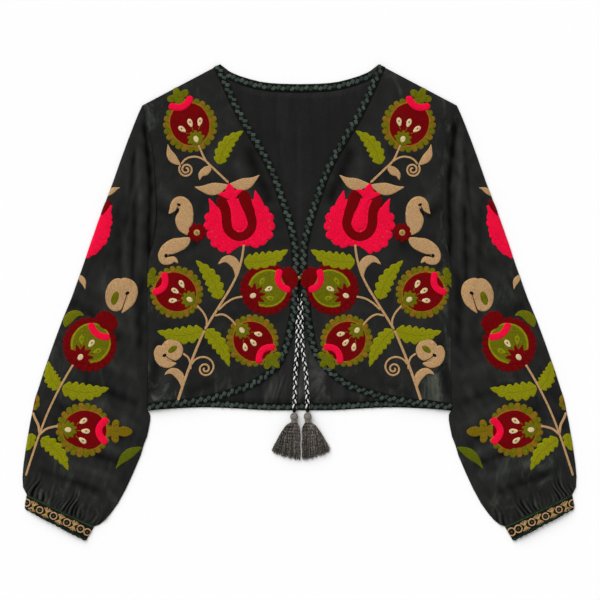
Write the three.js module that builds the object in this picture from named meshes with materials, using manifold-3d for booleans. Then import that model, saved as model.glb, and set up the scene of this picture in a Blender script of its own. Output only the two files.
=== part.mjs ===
// A short folk jacket laid out flat on its back: fronts up, neck towards +Y, sleeves at its sides.
// Millimetres. X runs across (the wearer's left is +X), Z up from the surface that it lies on.
// s is the distance from the centre line, the same on both sides.
import * as THREE from 'three';
import { mergeVertices } from 'three/addons/utils/BufferGeometryUtils.js';
import Module from 'manifold-3d';

// Driving dimensions
const NECK_HALF = 118.5;      // centre line to the neck point
const NECK_Y = 357;
const SHOULDER = { s: 236, y: 295 };
const UNDERARM = { s: 227, y: 61 };
const HEM_Y = -162;           // at the sides
const WALL = 1.2;             // velvet with its backing
const LINING = 1.0;
const SEAM = 0.3;             // clearance between pieces that are sewn together
const FOLD_MARGIN = 8;        // width over which a front drops to the back's edge
const TRIM_WIDTH = 12;
const TRIM_THICK = 1.1;
const NECK_TRIM_WIDTH = 13;
const NECK_TRIM = { reach: 110, columns: 5 };
const HEM_TRIM_WIDTH = 10;
const HEM_TRIM_REACH = 217;
const CORD_DIAMETER = 5.2;
const HEAD_DIAMETER = 12.4;   // tassel head
const STRANDS = 26;           // in each tassel
const SKIRT = 62;             // yarn below the head
const GATHERS = 14;           // above each cuff, on the side that shows
const CUFF = { depth: 25, piping: 2.2, edging: 4.4, taperIn: 2.2, taperOut: 5.9, fall: 0.8 };
const SCALLOPS = { count: 12, drop: 2.2 };
const STUD = { radius: 2.9, height: 1.9, y: 37 };

const LINING_TOP = WALL + SEAM + LINING;
const FRONT_UNDER = LINING_TOP + 2 * SEAM;
const EDGE_UNDER = WALL + SEAM;

// Outlines, from the top down
const ARMHOLE = [
  { y: 295, s: 236 }, { y: 229, s: 221 }, { y: 169, s: 216 }, { y: 124, s: 215.5 },
  { y: 86, s: 221 }, { y: 61, s: 227 }, { y: -40, s: 227 }, { y: -162, s: 227 },
];
const FRONT_EDGE = [
  { y: 357, s: 118.5 }, { y: 284.7, s: 84.8 }, { y: 210, s: 41.7 }, { y: 150, s: 18.8 },
  { y: 106.8, s: 5.9 }, { y: 78.8, s: 1.5 }, { y: 37, s: 0.9 }, { y: 2.2, s: 7.4 },
  { y: -40.8, s: 18.8 }, { y: -81, s: 27.5 }, { y: -96.9, s: 34.2 },
];
const FRONT_HEM = [
  { s: 34.2, y: -96.9 }, { s: 47.9, y: -112.2 }, { s: 71, y: -127.7 }, { s: 101.6, y: -139.8 },
  { s: 132, y: -148.4 }, { s: 162.8, y: -153.8 }, { s: 193.4, y: -157.4 }, { s: 227, y: -162 },
];
const BACK_HEM = [
  { s: 0, y: -161.5 }, { s: 50, y: -161.5 }, { s: 95, y: -158.8 }, { s: 140, y: -157.2 },
  { s: 185, y: -158.8 }, { s: 227, y: -162 },
];
const BACK_NECK = [
  { s: 0, y: 327.5 }, { s: 34.5, y: 328.4 }, { s: 59.3, y: 331.2 }, { s: 84.2, y: 338 },
  { s: 97.7, y: 342.8 }, { s: 109, y: 348.5 }, { s: 118.5, y: 357 },
];
const SLEEVE_OUTER = [
  { s: 236.6, y: 295.4 }, { s: 254, y: 252 }, { s: 270.5, y: 207 }, { s: 281.4, y: 175.7 },
  { s: 298.7, y: 129.8 }, { s: 321.6, y: 63.8 }, { s: 343, y: 3.8 }, { s: 354.6, y: -23.7 },
  { s: 377.6, y: -86.9 }, { s: 396.2, y: -144 }, { s: 409, y: -210 }, { s: 414.8, y: -253.2 },
  { s: 414.8, y: -276.2 }, { s: 409, y: -287.7 },
];
const SLEEVE_INNER = [
  { s: 228.2, y: 60 }, { s: 227.5, y: 0 }, { s: 227.4, y: -80 }, { s: 227.6, y: -150 },
  { s: 227.2, y: -172 }, { s: 228.6, y: -192 }, { s: 234.6, y: -219 }, { s: 250.4, y: -258 },
  { s: 273.4, y: -303 }, { s: 297, y: -331 }, { s: 307.6, y: -335.7 },
];

// Folds: a line on the cloth from end to end, its half width and its height (below 0, a trough)
const SLEEVE_FOLDS = [
  { s0: 231, y0: 272, s1: 223, y1: 72, width: 6, height: -1.2 },
  { s0: 244, y0: 234, s1: 267, y1: 98, width: 8, height: -1.1 },
  { s0: 237, y0: 186, s1: 243, y1: 48, width: 7, height: -0.9 },
  { s0: 238, y0: 264, s1: 250, y1: 222, width: 8, height: 0.7 },
  { s0: 232, y0: 160, s1: 234, y1: 62, width: 5, height: 0.6 },
  { s0: 250, y0: 176, s1: 256, y1: 66, width: 7, height: 0.7 },
  { s0: 276, y0: 150, s1: 318, y1: -60, width: 22, height: 0.5 },
  { s0: 240, y0: -20, s1: 262, y1: -150, width: 12, height: -0.5 },
  { s0: 350, y0: -70, s1: 386, y1: -180, width: 14, height: 0.5 },
  { s0: 250, y0: -196, s1: 330, y1: -232, width: 9, height: -0.7 },
  { s0: 262, y0: -226, s1: 320, y1: -262, width: 8, height: 0.7 },
  { s0: 326, y0: -246, s1: 404, y1: -226, width: 8, height: -0.7 },
  { s0: 340, y0: -262, s1: 398, y1: -254, width: 7, height: 0.6 },
];
const FRONT_FOLDS = [
  { s0: 92, y0: 262, s1: 40, y1: 140, width: 12, height: -0.3 },
  { s0: 112, y0: 262, s1: 62, y1: 138, width: 14, height: 0.5 },
  { s0: 205, y0: 260, s1: 196, y1: 110, width: 12, height: 0.5 },
  { s0: 178, y0: 176, s1: 214, y1: 150, width: 10, height: 0.4 },
  { s0: 60, y0: 60, s1: 150, y1: -20, width: 24, height: 0.4 },
  { s0: 190, y0: -70, s1: 216, y1: -150, width: 10, height: 0.5 },
  { s0: 168, y0: -96, s1: 190, y1: -150, width: 9, height: -0.3 },
];

// Ties: the route of each cord from its hidden root to its tassel
const TIES = {
  left: [
    { s: 8.4, y: 24 }, { s: 6.4, y: 14 }, { s: 4, y: 0 }, { s: 3.1, y: -22 }, { s: 3.6, y: -50 },
    { s: 6, y: -80 }, { s: 9.8, y: -106 }, { s: 11.4, y: -135 }, { s: 12.2, y: -164.2 },
  ],
  right: [
    { s: 8.4, y: 24 }, { s: 6.4, y: 14 }, { s: 4, y: 0 }, { s: 3, y: -22 }, { s: 3, y: -60 },
    { s: 4.4, y: -84 }, { s: 6, y: -106 }, { s: 6.9, y: -135 }, { s: 8, y: -164.2 },
  ],
};
const SIDES = [{ name: 'left', x: 1 }, { name: 'right', x: -1 }];

const wasm = await Module();
wasm.setup();

// Finishes
const finish = (color, roughness, metalness = 0) => (
  new THREE.MeshStandardMaterial({ color, roughness, metalness })
);
const velvet = finish('#1e1e1f', 0.85);
const liningCloth = finish('#2b2b2c', 0.7);
const braid = finish('#3c5248', 0.7);
const band = finish('#8a6a45', 0.8);
const piping = finish('#2f4a2a', 0.6);
const edging = finish('#1c2a1e', 0.7);
const cordYarn = finish('#8a8a88', 0.6);
const tasselYarn = finish('#7d7370', 0.7);
const wire = finish('#6a6a20', 0.4, 0.8);

const clamp = THREE.MathUtils.clamp;
const lerp = THREE.MathUtils.lerp;
const rise = (value, low, high) => THREE.MathUtils.smoothstep(value, low, high);

// A value read from a table by a smooth curve, for example s at a given y
function reader(table, key, value) {
  const rows = [...table].sort((a, b) => a[key] - b[key]);
  const slope = (i) => {
    const before = rows[Math.max(i - 1, 0)];
    const after = rows[Math.min(i + 1, rows.length - 1)];
    return (after[value] - before[value]) / (after[key] - before[key]);
  };
  return (at) => {
    const place = clamp(at, rows[0][key], rows[rows.length - 1][key]);
    let i = rows.findIndex((row) => row[key] >= place);
    i = Math.max(i, 1);
    const span = rows[i][key] - rows[i - 1][key];
    const t = (place - rows[i - 1][key]) / span;
    const entry = rows[i - 1][value] * (1 + 2 * t) * (1 - t) ** 2 + rows[i][value] * t * t * (3 - 2 * t);
    return entry + span * (slope(i - 1) * t * (1 - t) ** 2 - slope(i) * t * t * (1 - t));
  };
}

const sideAt = reader(ARMHOLE, 'y', 's');
const frontEdgeAt = reader(FRONT_EDGE, 'y', 's');
const frontHemAt = reader(FRONT_HEM, 's', 'y');
const neckAt = reader(BACK_NECK, 's', 'y');
const hemAt = reader(BACK_HEM, 's', 'y');
const curveOf = (table) => (
  new THREE.CatmullRomCurve3(table.map((p) => new THREE.Vector3(p.s, p.y, 0)), false, 'centripetal')
);

// Height above the shoulder line, negative inside the body
function beyondShoulder(s, y) {
  const run = SHOULDER.s - NECK_HALF;
  const drop = SHOULDER.y - NECK_Y;
  return ((y - NECK_Y) * run - (s - NECK_HALF) * drop) / Math.hypot(run, drop);
}

const topAt = (s) => (
  s <= NECK_HALF ? neckAt(s) : lerp(NECK_Y, SHOULDER.y, (s - NECK_HALF) / (SHOULDER.s - NECK_HALF))
);

// Sum of the folds of a table at one place on the cloth
function folds(table, s, y) {
  let sum = 0;
  for (const fold of table) {
    const run = fold.s1 - fold.s0;
    const drop = fold.y1 - fold.y0;
    const length = Math.hypot(run, drop);
    const along = ((s - fold.s0) * run + (y - fold.y0) * drop) / length;
    const across = ((s - fold.s0) * drop - (y - fold.y0) * run) / length;
    const start = rise(along, -fold.width, fold.width);
    const end = 1 - rise(along, length - fold.width, length + fold.width);
    sum += fold.height * start * end * Math.exp(-((across / fold.width) ** 2));
  }
  return sum;
}

// Turns points and triangles into a mesh's geometry; a mirrored one is turned right side out
function solid(points, triangles, side) {
  const geometry = new THREE.BufferGeometry();
  geometry.setAttribute('position', new THREE.Float32BufferAttribute(
    points.flatMap((p) => [p[0] * side, p[1], p[2]]), 3,
  ));
  geometry.setIndex(triangles.flatMap((t) => (side > 0 ? t : [t[0], t[2], t[1]])));
  geometry.computeVertexNormals();
  return geometry;
}

// A wall over a grid of places: top and under face, and a rim. grid[row][column] is { s, y }
function wallSolid(grid, under, over, side) {
  const rows = grid.length;
  const columns = grid[0].length;
  const points = [];
  for (const height of [over, under]) {
    for (const row of grid) {
      for (const p of row) points.push([p.s, p.y, height(p.s, p.y)]);
    }
  }
  const id = (layer, i, j) => layer * rows * columns + i * columns + j;
  const triangles = [];
  const quad = (a, b, c, d) => triangles.push([a, b, c], [a, c, d]);
  for (let i = 0; i < rows - 1; i += 1) {
    for (let j = 0; j < columns - 1; j += 1) {
      quad(id(0, i, j), id(0, i + 1, j), id(0, i + 1, j + 1), id(0, i, j + 1));
      quad(id(1, i, j), id(1, i, j + 1), id(1, i + 1, j + 1), id(1, i + 1, j));
    }
  }
  const rim = [];
  for (let i = 0; i < rows; i += 1) rim.push([i, 0]);
  for (let j = 1; j < columns; j += 1) rim.push([rows - 1, j]);
  for (let i = rows - 2; i >= 0; i -= 1) rim.push([i, columns - 1]);
  for (let j = columns - 2; j > 0; j -= 1) rim.push([0, j]);
  rim.forEach(([i, j], k) => {
    const [m, n] = rim[(k + 1) % rim.length];
    quad(id(0, i, j), id(1, i, j), id(1, m, n), id(0, m, n));
  });
  return solid(points, triangles, side);
}

// Even steps with a margin of its own size at each end
function steps(count, length, first, last) {
  const marks = [0];
  for (let k = 0; k <= count - 2; k += 1) {
    marks.push((first + ((length - first - last) * k) / (count - 2)) / length);
  }
  marks.push(1);
  return marks;
}

// The back: its outline in one flat wall
function backPanel() {
  const NECK_STEPS = 8;
  const HEM_STEPS = 14;
  const SIDE_HEIGHTS = [SHOULDER.y, 262, 229, 199, 169, 146, 124, 105, 86, UNDERARM.y];
  const half = [];
  for (let k = 0; k <= NECK_STEPS; k += 1) {
    const s = (NECK_HALF * k) / NECK_STEPS;
    half.push({ s, y: neckAt(s) });
  }
  for (const y of SIDE_HEIGHTS) half.push({ s: sideAt(y), y });
  for (let k = HEM_STEPS; k > 0; k -= 1) {
    const s = (UNDERARM.s * k) / HEM_STEPS;
    half.push({ s, y: hemAt(s) });
  }
  const mirrored = half.slice(1).reverse().map((p) => ({ s: -p.s, y: p.y }));
  const outline = [...half, { s: 0, y: hemAt(0) }, ...mirrored];
  const shape = new THREE.Shape(outline.map((p) => new THREE.Vector2(p.s, p.y)));
  return new THREE.ExtrudeGeometry(shape, { depth: WALL, bevelEnabled: false });
}

// The lining: flat below, with a centre pleat and soft folds where it shows under the fronts' hems
function liningBack() {
  const ROWS = 13;
  const INSET = FOLD_MARGIN + 1;
  const SHOULDER_COLUMNS = 5;
  const PLEAT = { half: 5, height: 0.5, top: 276, low: 50, fade: 20 };
  const WAVE = { pitch: 47, height: 0.45 };
  const widest = SHOULDER.s - INSET;
  const narrowing = (UNDERARM.s - INSET) / widest;
  const lowestAt = (s) => hemAt(s * narrowing) + HEM_TRIM_WIDTH + 2 * SEAM;
  const half = [];
  for (let k = 0; k <= NECK_TRIM.columns; k += 1) {
    half.push((NECK_TRIM.reach * k) / NECK_TRIM.columns);
  }
  for (let k = 1; k <= SHOULDER_COLUMNS; k += 1) {
    half.push(lerp(NECK_TRIM.reach, widest, k / SHOULDER_COLUMNS));
  }
  const columns = [...half.slice(1).reverse().map((s) => -s), ...half];
  const grid = [];
  for (let i = 0; i < ROWS; i += 1) {
    grid.push(columns.map((topS) => {
      const across = Math.abs(topS);
      const drop = across <= NECK_TRIM.reach ? NECK_TRIM_WIDTH + SEAM : INSET;
      const y = lerp(topAt(across) - drop, lowestAt(across), i / (ROWS - 1));
      return { s: (topS / widest) * (sideAt(Math.min(y, SHOULDER.y)) - INSET), y };
    }));
  }
  const over = (s, y) => {
    const across = Math.abs(s);
    const fades = rise(PLEAT.top - y, 0, PLEAT.fade) * rise(y - PLEAT.low, 0, PLEAT.fade);
    const pleat = Math.max(0, 1 - across / (2 * PLEAT.half)) * fades;
    const shows = rise(frontHemAt(across) - y, -4, 14);
    const wave = 0.5 - 0.5 * Math.cos((2 * Math.PI * s) / WAVE.pitch);
    return LINING_TOP + PLEAT.height * pleat + WAVE.height * wave * shows;
  };
  return wallSolid(grid, () => WALL + SEAM, over, 1);
}

// A band of braid on the back panel, down from a line
function bandOnBack(lineOf, width, reach, count) {
  const under = WALL + SEAM;
  const over = under + TRIM_THICK + 0.1;
  const grid = [[], []];
  for (let k = 0; k <= count; k += 1) {
    const s = lerp(-reach, reach, k / count);
    grid[0].push({ s, y: lineOf(Math.abs(s)) });
    grid[1].push({ s, y: lineOf(Math.abs(s)) - width });
  }
  return wallSolid(grid, () => under, () => over, 1);
}

// The fronts: a four-sided patch between shoulder, side, hem and front edge
const FRONT_ROWS = 24;
const FRONT_COLUMNS = 13;
const hemCurve = curveOf(FRONT_HEM);
const edgeLow = FRONT_EDGE[FRONT_EDGE.length - 1];

function frontPlace(u, v) {
  const innerY = lerp(NECK_Y, edgeLow.y, v);
  const outerY = lerp(SHOULDER.y, HEM_Y, v);
  const inner = { s: frontEdgeAt(innerY), y: innerY };
  const outer = { s: sideAt(outerY), y: outerY };
  const top = { s: lerp(NECK_HALF, SHOULDER.s, u), y: lerp(NECK_Y, SHOULDER.y, u) };
  const low = hemCurve.getPointAt(u);
  const blend = (key, lowValue) => {
    const across = lerp(inner[key], outer[key], u);
    const down = lerp(top[key], lowValue, v);
    const topCorners = lerp(key === 's' ? NECK_HALF : NECK_Y, SHOULDER[key], u);
    const lowCorners = lerp(edgeLow[key], key === 's' ? UNDERARM.s : HEM_Y, u);
    return across + down - lerp(topCorners, lowCorners, v);
  };
  return { s: blend('s', low.x), y: blend('y', low.y) };
}

function frontGrid() {
  const span = (u0, v0, u1, v1) => {
    const a = frontPlace(u0, v0);
    const b = frontPlace(u1, v1);
    return Math.hypot(a.s - b.s, a.y - b.y);
  };
  const grid = [];
  for (let i = 0; i <= FRONT_ROWS; i += 1) {
    const row = [];
    for (let j = 0; j <= FRONT_COLUMNS; j += 1) {
      const roughV = i / FRONT_ROWS;
      const us = steps(FRONT_COLUMNS, span(0, roughV, 1, roughV), TRIM_WIDTH, FOLD_MARGIN);
      const vs = steps(FRONT_ROWS, span(us[j], 0, us[j], 1), FOLD_MARGIN, TRIM_WIDTH);
      row.push(frontPlace(us[j], vs[i]));
    }
    grid.push(row);
  }
  return grid;
}

// The fronts lie on the lining, rise over the ties' roots, and drop to the back at side and shoulder
function frontUnder(s, y) {
  const TENT = { height: 5.6, s: 14, y: 15, halfY: 22, fade: 42 };
  const CROWN = { height: 1.1, s: 130, y: 90, reachS: 120, reachY: 230 };
  const tent = TENT.height * (1 - rise(s, TENT.s, TENT.s + TENT.fade))
    * (1 - rise(Math.abs(y - TENT.y), TENT.halfY, TENT.halfY + TENT.fade));
  const crown = CROWN.height * (1 - rise(Math.abs(s - CROWN.s), 0, CROWN.reachS))
    * (1 - rise(Math.abs(y - CROWN.y), 0, CROWN.reachY));
  const inside = Math.min(sideAt(Math.min(y, SHOULDER.y)) - s, -beyondShoulder(s, y));
  return lerp(EDGE_UNDER, FRONT_UNDER + tent + crown, rise(inside, 0, FOLD_MARGIN));
}

const FRONT_WALL = { plain: 1.5, least: 1, most: 3 };
const frontOver = (s, y) => frontUnder(s, y)
  + clamp(FRONT_WALL.plain + folds(FRONT_FOLDS, s, y), FRONT_WALL.least, FRONT_WALL.most);

// Braid on a front's own points: down its front edge, round the corner and along the hem
function frontTrim(grid, side) {
  const last = grid.length - 1;
  const down = grid.slice(0, last).map((row) => [row[0], row[1]]);
  const corner = [grid[last][0], grid[last - 1][1]];
  const along = grid[last].slice(2).map((p, j) => [p, grid[last - 1][j + 2]]);
  const over = (s, y) => frontOver(s, y) + SEAM;
  return wallSolid([...down, corner, ...along], over, (s, y) => over(s, y) + TRIM_THICK, side);
}

// Rings: a flat tube lying on the surface. Each row runs from its inner to its outer fold.
function ringPoint(row, u, z) {
  const bow = row.bow ? row.bow(u) : { s: 0, y: 0 };
  return [lerp(row.a.s, row.b.s, u) + bow.s, lerp(row.a.y, row.b.y, u) + bow.y, z];
}

// The outer ring of a row: the fold, the face that shows, the other fold and the resting face
function outerRing(row, topCount, restCount) {
  const FOLD_STEP = 2.4;
  const REST_STEP = 2.2;
  const length = Math.hypot(row.b.s - row.a.s, row.b.y - row.a.y);
  const ring = [];
  const foldZ = WALL + 0.1;
  for (const u of steps(topCount, length, FOLD_STEP, FOLD_STEP)) {
    const isFold = u === 0 || u === 1;
    const z = isFold ? foldZ : row.over(u, ringPoint(row, u, 0), u * length, (1 - u) * length);
    ring.push({ t: u / 2, p: ringPoint(row, u, z) });
  }
  for (const u of steps(restCount + 2, length, REST_STEP, REST_STEP).slice(1, -1).reverse()) {
    ring.push({ t: 1 - u / 2, p: ringPoint(row, u, row.rest ?? 0) });
  }
  return ring;
}

// The cavity's ring: a plain flat hollow inside
function innerRing(row, topCount, restCount) {
  const FOLD_WALL = 2.2;
  const length = Math.hypot(row.b.s - row.a.s, row.b.y - row.a.y);
  const ring = [];
  const floor = (row.rest ?? 0) + WALL;
  for (let k = 0; k <= topCount; k += 1) {
    const u = lerp(FOLD_WALL / length, 1 - FOLD_WALL / length, k / topCount);
    const ends = k === 0 || k === topCount;
    const z = ends ? floor + 0.12 : row.cavity(u, ringPoint(row, u, 0), u * length, (1 - u) * length);
    ring.push({ t: u / 2, p: ringPoint(row, u, z) });
  }
  for (let k = restCount; k >= 1; k -= 1) {
    const u = lerp(FOLD_WALL / length, 1 - FOLD_WALL / length, k / (restCount + 1));
    ring.push({ t: 1 - u / 2, p: ringPoint(row, u, floor) });
  }
  return ring;
}

// Triangles between two rings, which may differ in their number of points
function bridge(first, second, triangles, flip) {
  let i = 0;
  let j = 0;
  const mark = (ring, k) => (k < ring.length ? ring[k].t : 1 + ring[0].t);
  while (i < first.length || j < second.length) {
    const nextI = mark(first, i + 1);
    const nextJ = mark(second, j + 1);
    const a = first[i % first.length].id;
    const b = second[j % second.length].id;
    let third;
    if (j >= second.length || (i < first.length && nextI <= nextJ)) {
      i += 1;
      third = first[i % first.length].id;
    } else {
      j += 1;
      third = second[j % second.length].id;
    }
    triangles.push(flip ? [a, b, third] : [a, third, b]);
  }
}

function tubeSolid(rows, side) {
  const points = [];
  const triangles = [];
  const number = (ring) => ring.map((r) => {
    points.push(r.p);
    return { t: r.t, id: points.length - 1 };
  });
  const outer = rows.map((row) => number(outerRing(row, row.columns, row.restColumns)));
  const inner = rows.map((row) => number(innerRing(row, row.cavityColumns, row.restColumns)));
  for (let k = 0; k < rows.length - 1; k += 1) {
    bridge(outer[k], outer[k + 1], triangles, true);
    bridge(inner[k], inner[k + 1], triangles, false);
  }
  bridge(outer[0], inner[0], triangles, false);
  bridge(outer[rows.length - 1], inner[rows.length - 1], triangles, true);
  return solid(points, triangles, side);
}

// Sleeves
const sleeveOuter = curveOf(SLEEVE_OUTER);
const sleeveInner = curveOf(SLEEVE_INNER);
const SLEEVE_ROWS = [
  0, 0.016, 0.045, 0.09, 0.14, 0.2, 0.27, 0.35, 0.43, 0.5, 0.56, 0.62, 0.69, 0.76, 0.82, 0.88,
  0.925, 0.955, 0.98, 1,
];
const FINE_FROM = 0.86;       // rows past here carry the gathers
const CAVITY = { least: 0.35, most: 3.6, fold: 14 };
const SLEEVE_WALL = { plain: 1.75, least: 1.05, most: 2.95 };

// Room inside the sleeve: it puffs in the middle and above the cuff, and lies flat at its folds
function sleeveRoom(v, fromInner, fromOuter) {
  const middle = rise(Math.min(fromInner, fromOuter), 0, 46);
  const along = 0.55 + 0.45 * Math.sin(Math.PI * clamp(v * 1.15 - 0.1, 0, 1));
  const edge = rise(Math.min(fromInner, fromOuter), 0, CAVITY.fold);
  return lerp(CAVITY.least, lerp(1.4, CAVITY.most, middle * along), edge);
}

// Gathers drawn in at the cuff, uneven and fading up the sleeve
function gathers(u, v) {
  const WANDER = 3.5;
  const phase = GATHERS * u + WANDER * Math.sin(5.1 * u + 1) * (1 - v);
  const length = 0.07 + 0.035 * Math.sin(9 * u);
  return 0.75 * Math.cos(2 * Math.PI * phase) * rise(v, 1 - length, 0.995);
}

function sleeveRows() {
  const chord = (u) => ({
    s: lerp(SLEEVE_INNER[0].s, SLEEVE_OUTER[0].s, u),
    y: lerp(SLEEVE_INNER[0].y, SLEEVE_OUTER[0].y, u),
  });
  const seamAt = (u) => {
    const { s, y } = chord(u);
    const clearance = lerp(1.1, 0.5, rise(y, UNDERARM.y, UNDERARM.y + 60));
    return { s: sideAt(clamp(y, UNDERARM.y, SHOULDER.y)) + clearance - s, y: 0 };
  };
  return SLEEVE_ROWS.map((v) => {
    const a = sleeveInner.getPointAt(v);
    const b = sleeveOuter.getPointAt(v);
    const hold = clamp(1 - v / 0.03, 0, 1);
    const row = { a: { s: a.x, y: a.y }, b: { s: b.x, y: b.y } };
    if (hold > 0) {
      row.bow = (u) => ({ s: seamAt(u).s * hold * rise(u, -0.02, 0.03) * rise(1 - u, -0.02, 0.03), y: 0 });
    }
    row.cavity = (u, p, fromInner, fromOuter) => WALL + sleeveRoom(v, fromInner, fromOuter);
    row.over = (u, p, fromInner, fromOuter) => {
      const wanted = SLEEVE_WALL.plain + folds(SLEEVE_FOLDS, p[0], p[1]) + gathers(u, v);
      const wall = clamp(wanted, SLEEVE_WALL.least, SLEEVE_WALL.most);
      const rounded = lerp(WALL, wall, rise(Math.min(fromInner, fromOuter), 0, 9));
      return WALL + sleeveRoom(v, fromInner, fromOuter) + rounded;
    };
    row.columns = v > FINE_FROM ? 4 * GATHERS + 2 : 30;
    row.restColumns = 7;
    row.cavityColumns = 16;
    return row;
  });
}

// Cuffs: a tapered band on the sleeve's lower edge. depth is measured down from that edge.
function cuffLine(depth) {
  const a = SLEEVE_INNER[SLEEVE_INNER.length - 1];
  const b = SLEEVE_OUTER[SLEEVE_OUTER.length - 1];
  const width = Math.hypot(b.s - a.s, b.y - a.y);
  const along = { s: (b.s - a.s) / width, y: (b.y - a.y) / width };
  const down = { s: along.y, y: -along.s };
  const share = depth / CUFF.depth;
  return {
    a: {
      s: a.s + along.s * CUFF.taperIn * share + down.s * depth,
      y: a.y + along.y * CUFF.taperIn * share + down.y * depth,
    },
    b: {
      s: b.s - along.s * CUFF.taperOut * share + down.s * depth * CUFF.fall,
      y: b.y - along.y * CUFF.taperOut * share + down.y * depth * CUFF.fall,
    },
    down,
  };
}

function cuffPart(depths, heights, columns, scallop) {
  const room = (fromInner, fromOuter) => lerp(0.35, 2.2, rise(Math.min(fromInner, fromOuter), 0, 18));
  return depths.map((depth, k) => {
    const row = cuffLine(depth);
    row.cavity = (u, p, fromInner, fromOuter) => WALL + room(fromInner, fromOuter);
    row.over = (u, p, fromInner, fromOuter) => WALL + room(fromInner, fromOuter) + heights[k];
    if (scallop && k === depths.length - 1) {
      row.bow = (u) => {
        const drop = scallop * Math.abs(Math.sin(Math.PI * SCALLOPS.count * u));
        return { s: row.down.s * drop, y: row.down.y * drop };
      };
    }
    row.columns = columns;
    row.restColumns = columns > 30 ? 24 : 7;
    row.cavityColumns = 14;
    return row;
  });
}

// Ties and tassels
function tieRoute(side) {
  const onLining = LINING_TOP + SEAM + CORD_DIAMETER / 2 + 0.3;
  const atHead = HEAD_DIAMETER / 2 + SEAM;
  return TIES[side.name].map((p) => {
    const z = lerp(onLining, atHead, rise(-p.y, 120, 164));
    return new THREE.Vector3(p.s * side.x, p.y, z);
  });
}

function tieCord(side) {
  const CORD_SIDES = 8;
  const CORD_STEPS = 34;
  const section = new THREE.Shape();
  for (let k = 0; k < CORD_SIDES; k += 1) {
    const angle = (2 * Math.PI * k) / CORD_SIDES;
    const x = (CORD_DIAMETER / 2) * Math.cos(angle);
    const y = (CORD_DIAMETER / 2) * Math.sin(angle);
    if (k === 0) section.moveTo(x, y);
    else section.lineTo(x, y);
  }
  section.closePath();
  const extrudePath = new THREE.CatmullRomCurve3(tieRoute(side));
  return new THREE.ExtrudeGeometry(section, { steps: CORD_STEPS, extrudePath, bevelEnabled: false });
}

function toManifold(geometry) {
  const bare = geometry.clone();
  bare.deleteAttribute('normal');
  bare.deleteAttribute('uv');
  const merged = mergeVertices(bare, 1e-4);
  return new wasm.Manifold(new wasm.Mesh({
    numProp: 3,
    vertProperties: new Float32Array(merged.attributes.position.array),
    triVerts: new Uint32Array(merged.index.array),
  }));
}

function fromManifold(body) {
  const mesh = body.getMesh();
  const geometry = new THREE.BufferGeometry();
  geometry.setAttribute('position', new THREE.BufferAttribute(new Float32Array(mesh.vertProperties), 3));
  geometry.setIndex(new THREE.BufferAttribute(new Uint32Array(mesh.triVerts), 1));
  geometry.computeVertexNormals();
  return geometry;
}

// A rod through stations, each with its place and its half width and half height
function rodSolid(stations, sides) {
  const points = [];
  for (const station of stations) {
    for (let k = 0; k < sides; k += 1) {
      const angle = Math.PI / 2 + (2 * Math.PI * k) / sides;
      const x = station.x + station.halfX * Math.cos(angle);
      points.push([x, station.y, station.z + station.halfZ * Math.sin(angle)]);
    }
  }
  const triangles = [];
  const end = sides * (stations.length - 1);
  for (let k = 1; k < sides - 1; k += 1) {
    triangles.push([0, k + 1, k], [end, end + k, end + k + 1]);
  }
  for (let i = 0; i < stations.length - 1; i += 1) {
    for (let k = 0; k < sides; k += 1) {
      const a = sides * i + k;
      const b = sides * i + ((k + 1) % sides);
      triangles.push([a, b + sides, a + sides], [a, b, b + sides]);
    }
  }
  return solid(points, triangles, 1);
}

// A tassel: a ball, the yarn bound close below it, and locks that fan out over the surface
function tassel(side) {
  const tie = tieRoute(side).at(-1);
  const radius = HEAD_DIAMETER / 2;
  const centre = { x: tie.x, y: tie.y - radius - 1.2 * SEAM, z: radius + SEAM };
  const FAN = { inward: -8, outward: 33 };
  const LAYERS = [{ z: 1, root: 3.3 }, { z: 2.7, root: 5 }];
  const SKIRT_STATIONS = [
    { down: -2, halfX: 4, halfZ: 4, z: 6.2, lean: 0 },
    { down: 3, halfX: 6.6, halfZ: 4.6, z: 5.6, lean: 0.03 },
    { down: 11, halfX: 11.2, halfZ: 4.2, z: 4.9, lean: 0.22 },
    { down: 21, halfX: 13.8, halfZ: 3.2, z: 4.2, lean: 0.42 },
  ];
  const LOCK = { half: 0.74, span: 25.4, rootDown: 19, rootZ: 4.2, wobble: 0.5 };
  const head = new THREE.SphereGeometry(radius, 14, 9);
  head.rotateX(Math.PI / 2);
  head.translate(centre.x, centre.y, centre.z);
  const top = centre.y - radius;
  const middle = (FAN.inward + FAN.outward) / 2;
  const skirt = SKIRT_STATIONS.map((row) => ({
    ...row, x: centre.x + side.x * row.lean * middle, y: top - row.down,
  }));
  let body = toManifold(head).add(toManifold(rodSolid(skirt, 12)));
  const each = STRANDS / LAYERS.length;
  LAYERS.forEach((layer, row) => {
    for (let k = 0; k < each; k += 1) {
      const share = k / (each - 1);
      const tipY = top - SKIRT + 7 * share + 2.4 * Math.sin(7.3 * k + 2.1 * row);
      const root = side.x * (0.42 * middle + lerp(-LOCK.span / 2, LOCK.span / 2, share));
      const rootZ = LOCK.rootZ + (layer.root - LOCK.rootZ) * Math.sin(Math.PI * lerp(0.1, 0.9, share));
      const tip = side.x * lerp(FAN.inward, FAN.outward, share);
      const stations = [0, 0.35, 0.7, 1].map((t) => ({
        x: centre.x + lerp(root, tip, t ** 1.1) + LOCK.wobble * t * Math.sin(4 * t + 1.7 * k),
        y: lerp(top - LOCK.rootDown, tipY, t),
        z: lerp(rootZ, layer.z, rise(t, 0, 0.7)),
        halfX: LOCK.half,
        halfZ: LOCK.half,
      }));
      body = body.add(toManifold(rodSolid(stations, 3)));
    }
  });
  return fromManifold(body);
}

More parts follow.
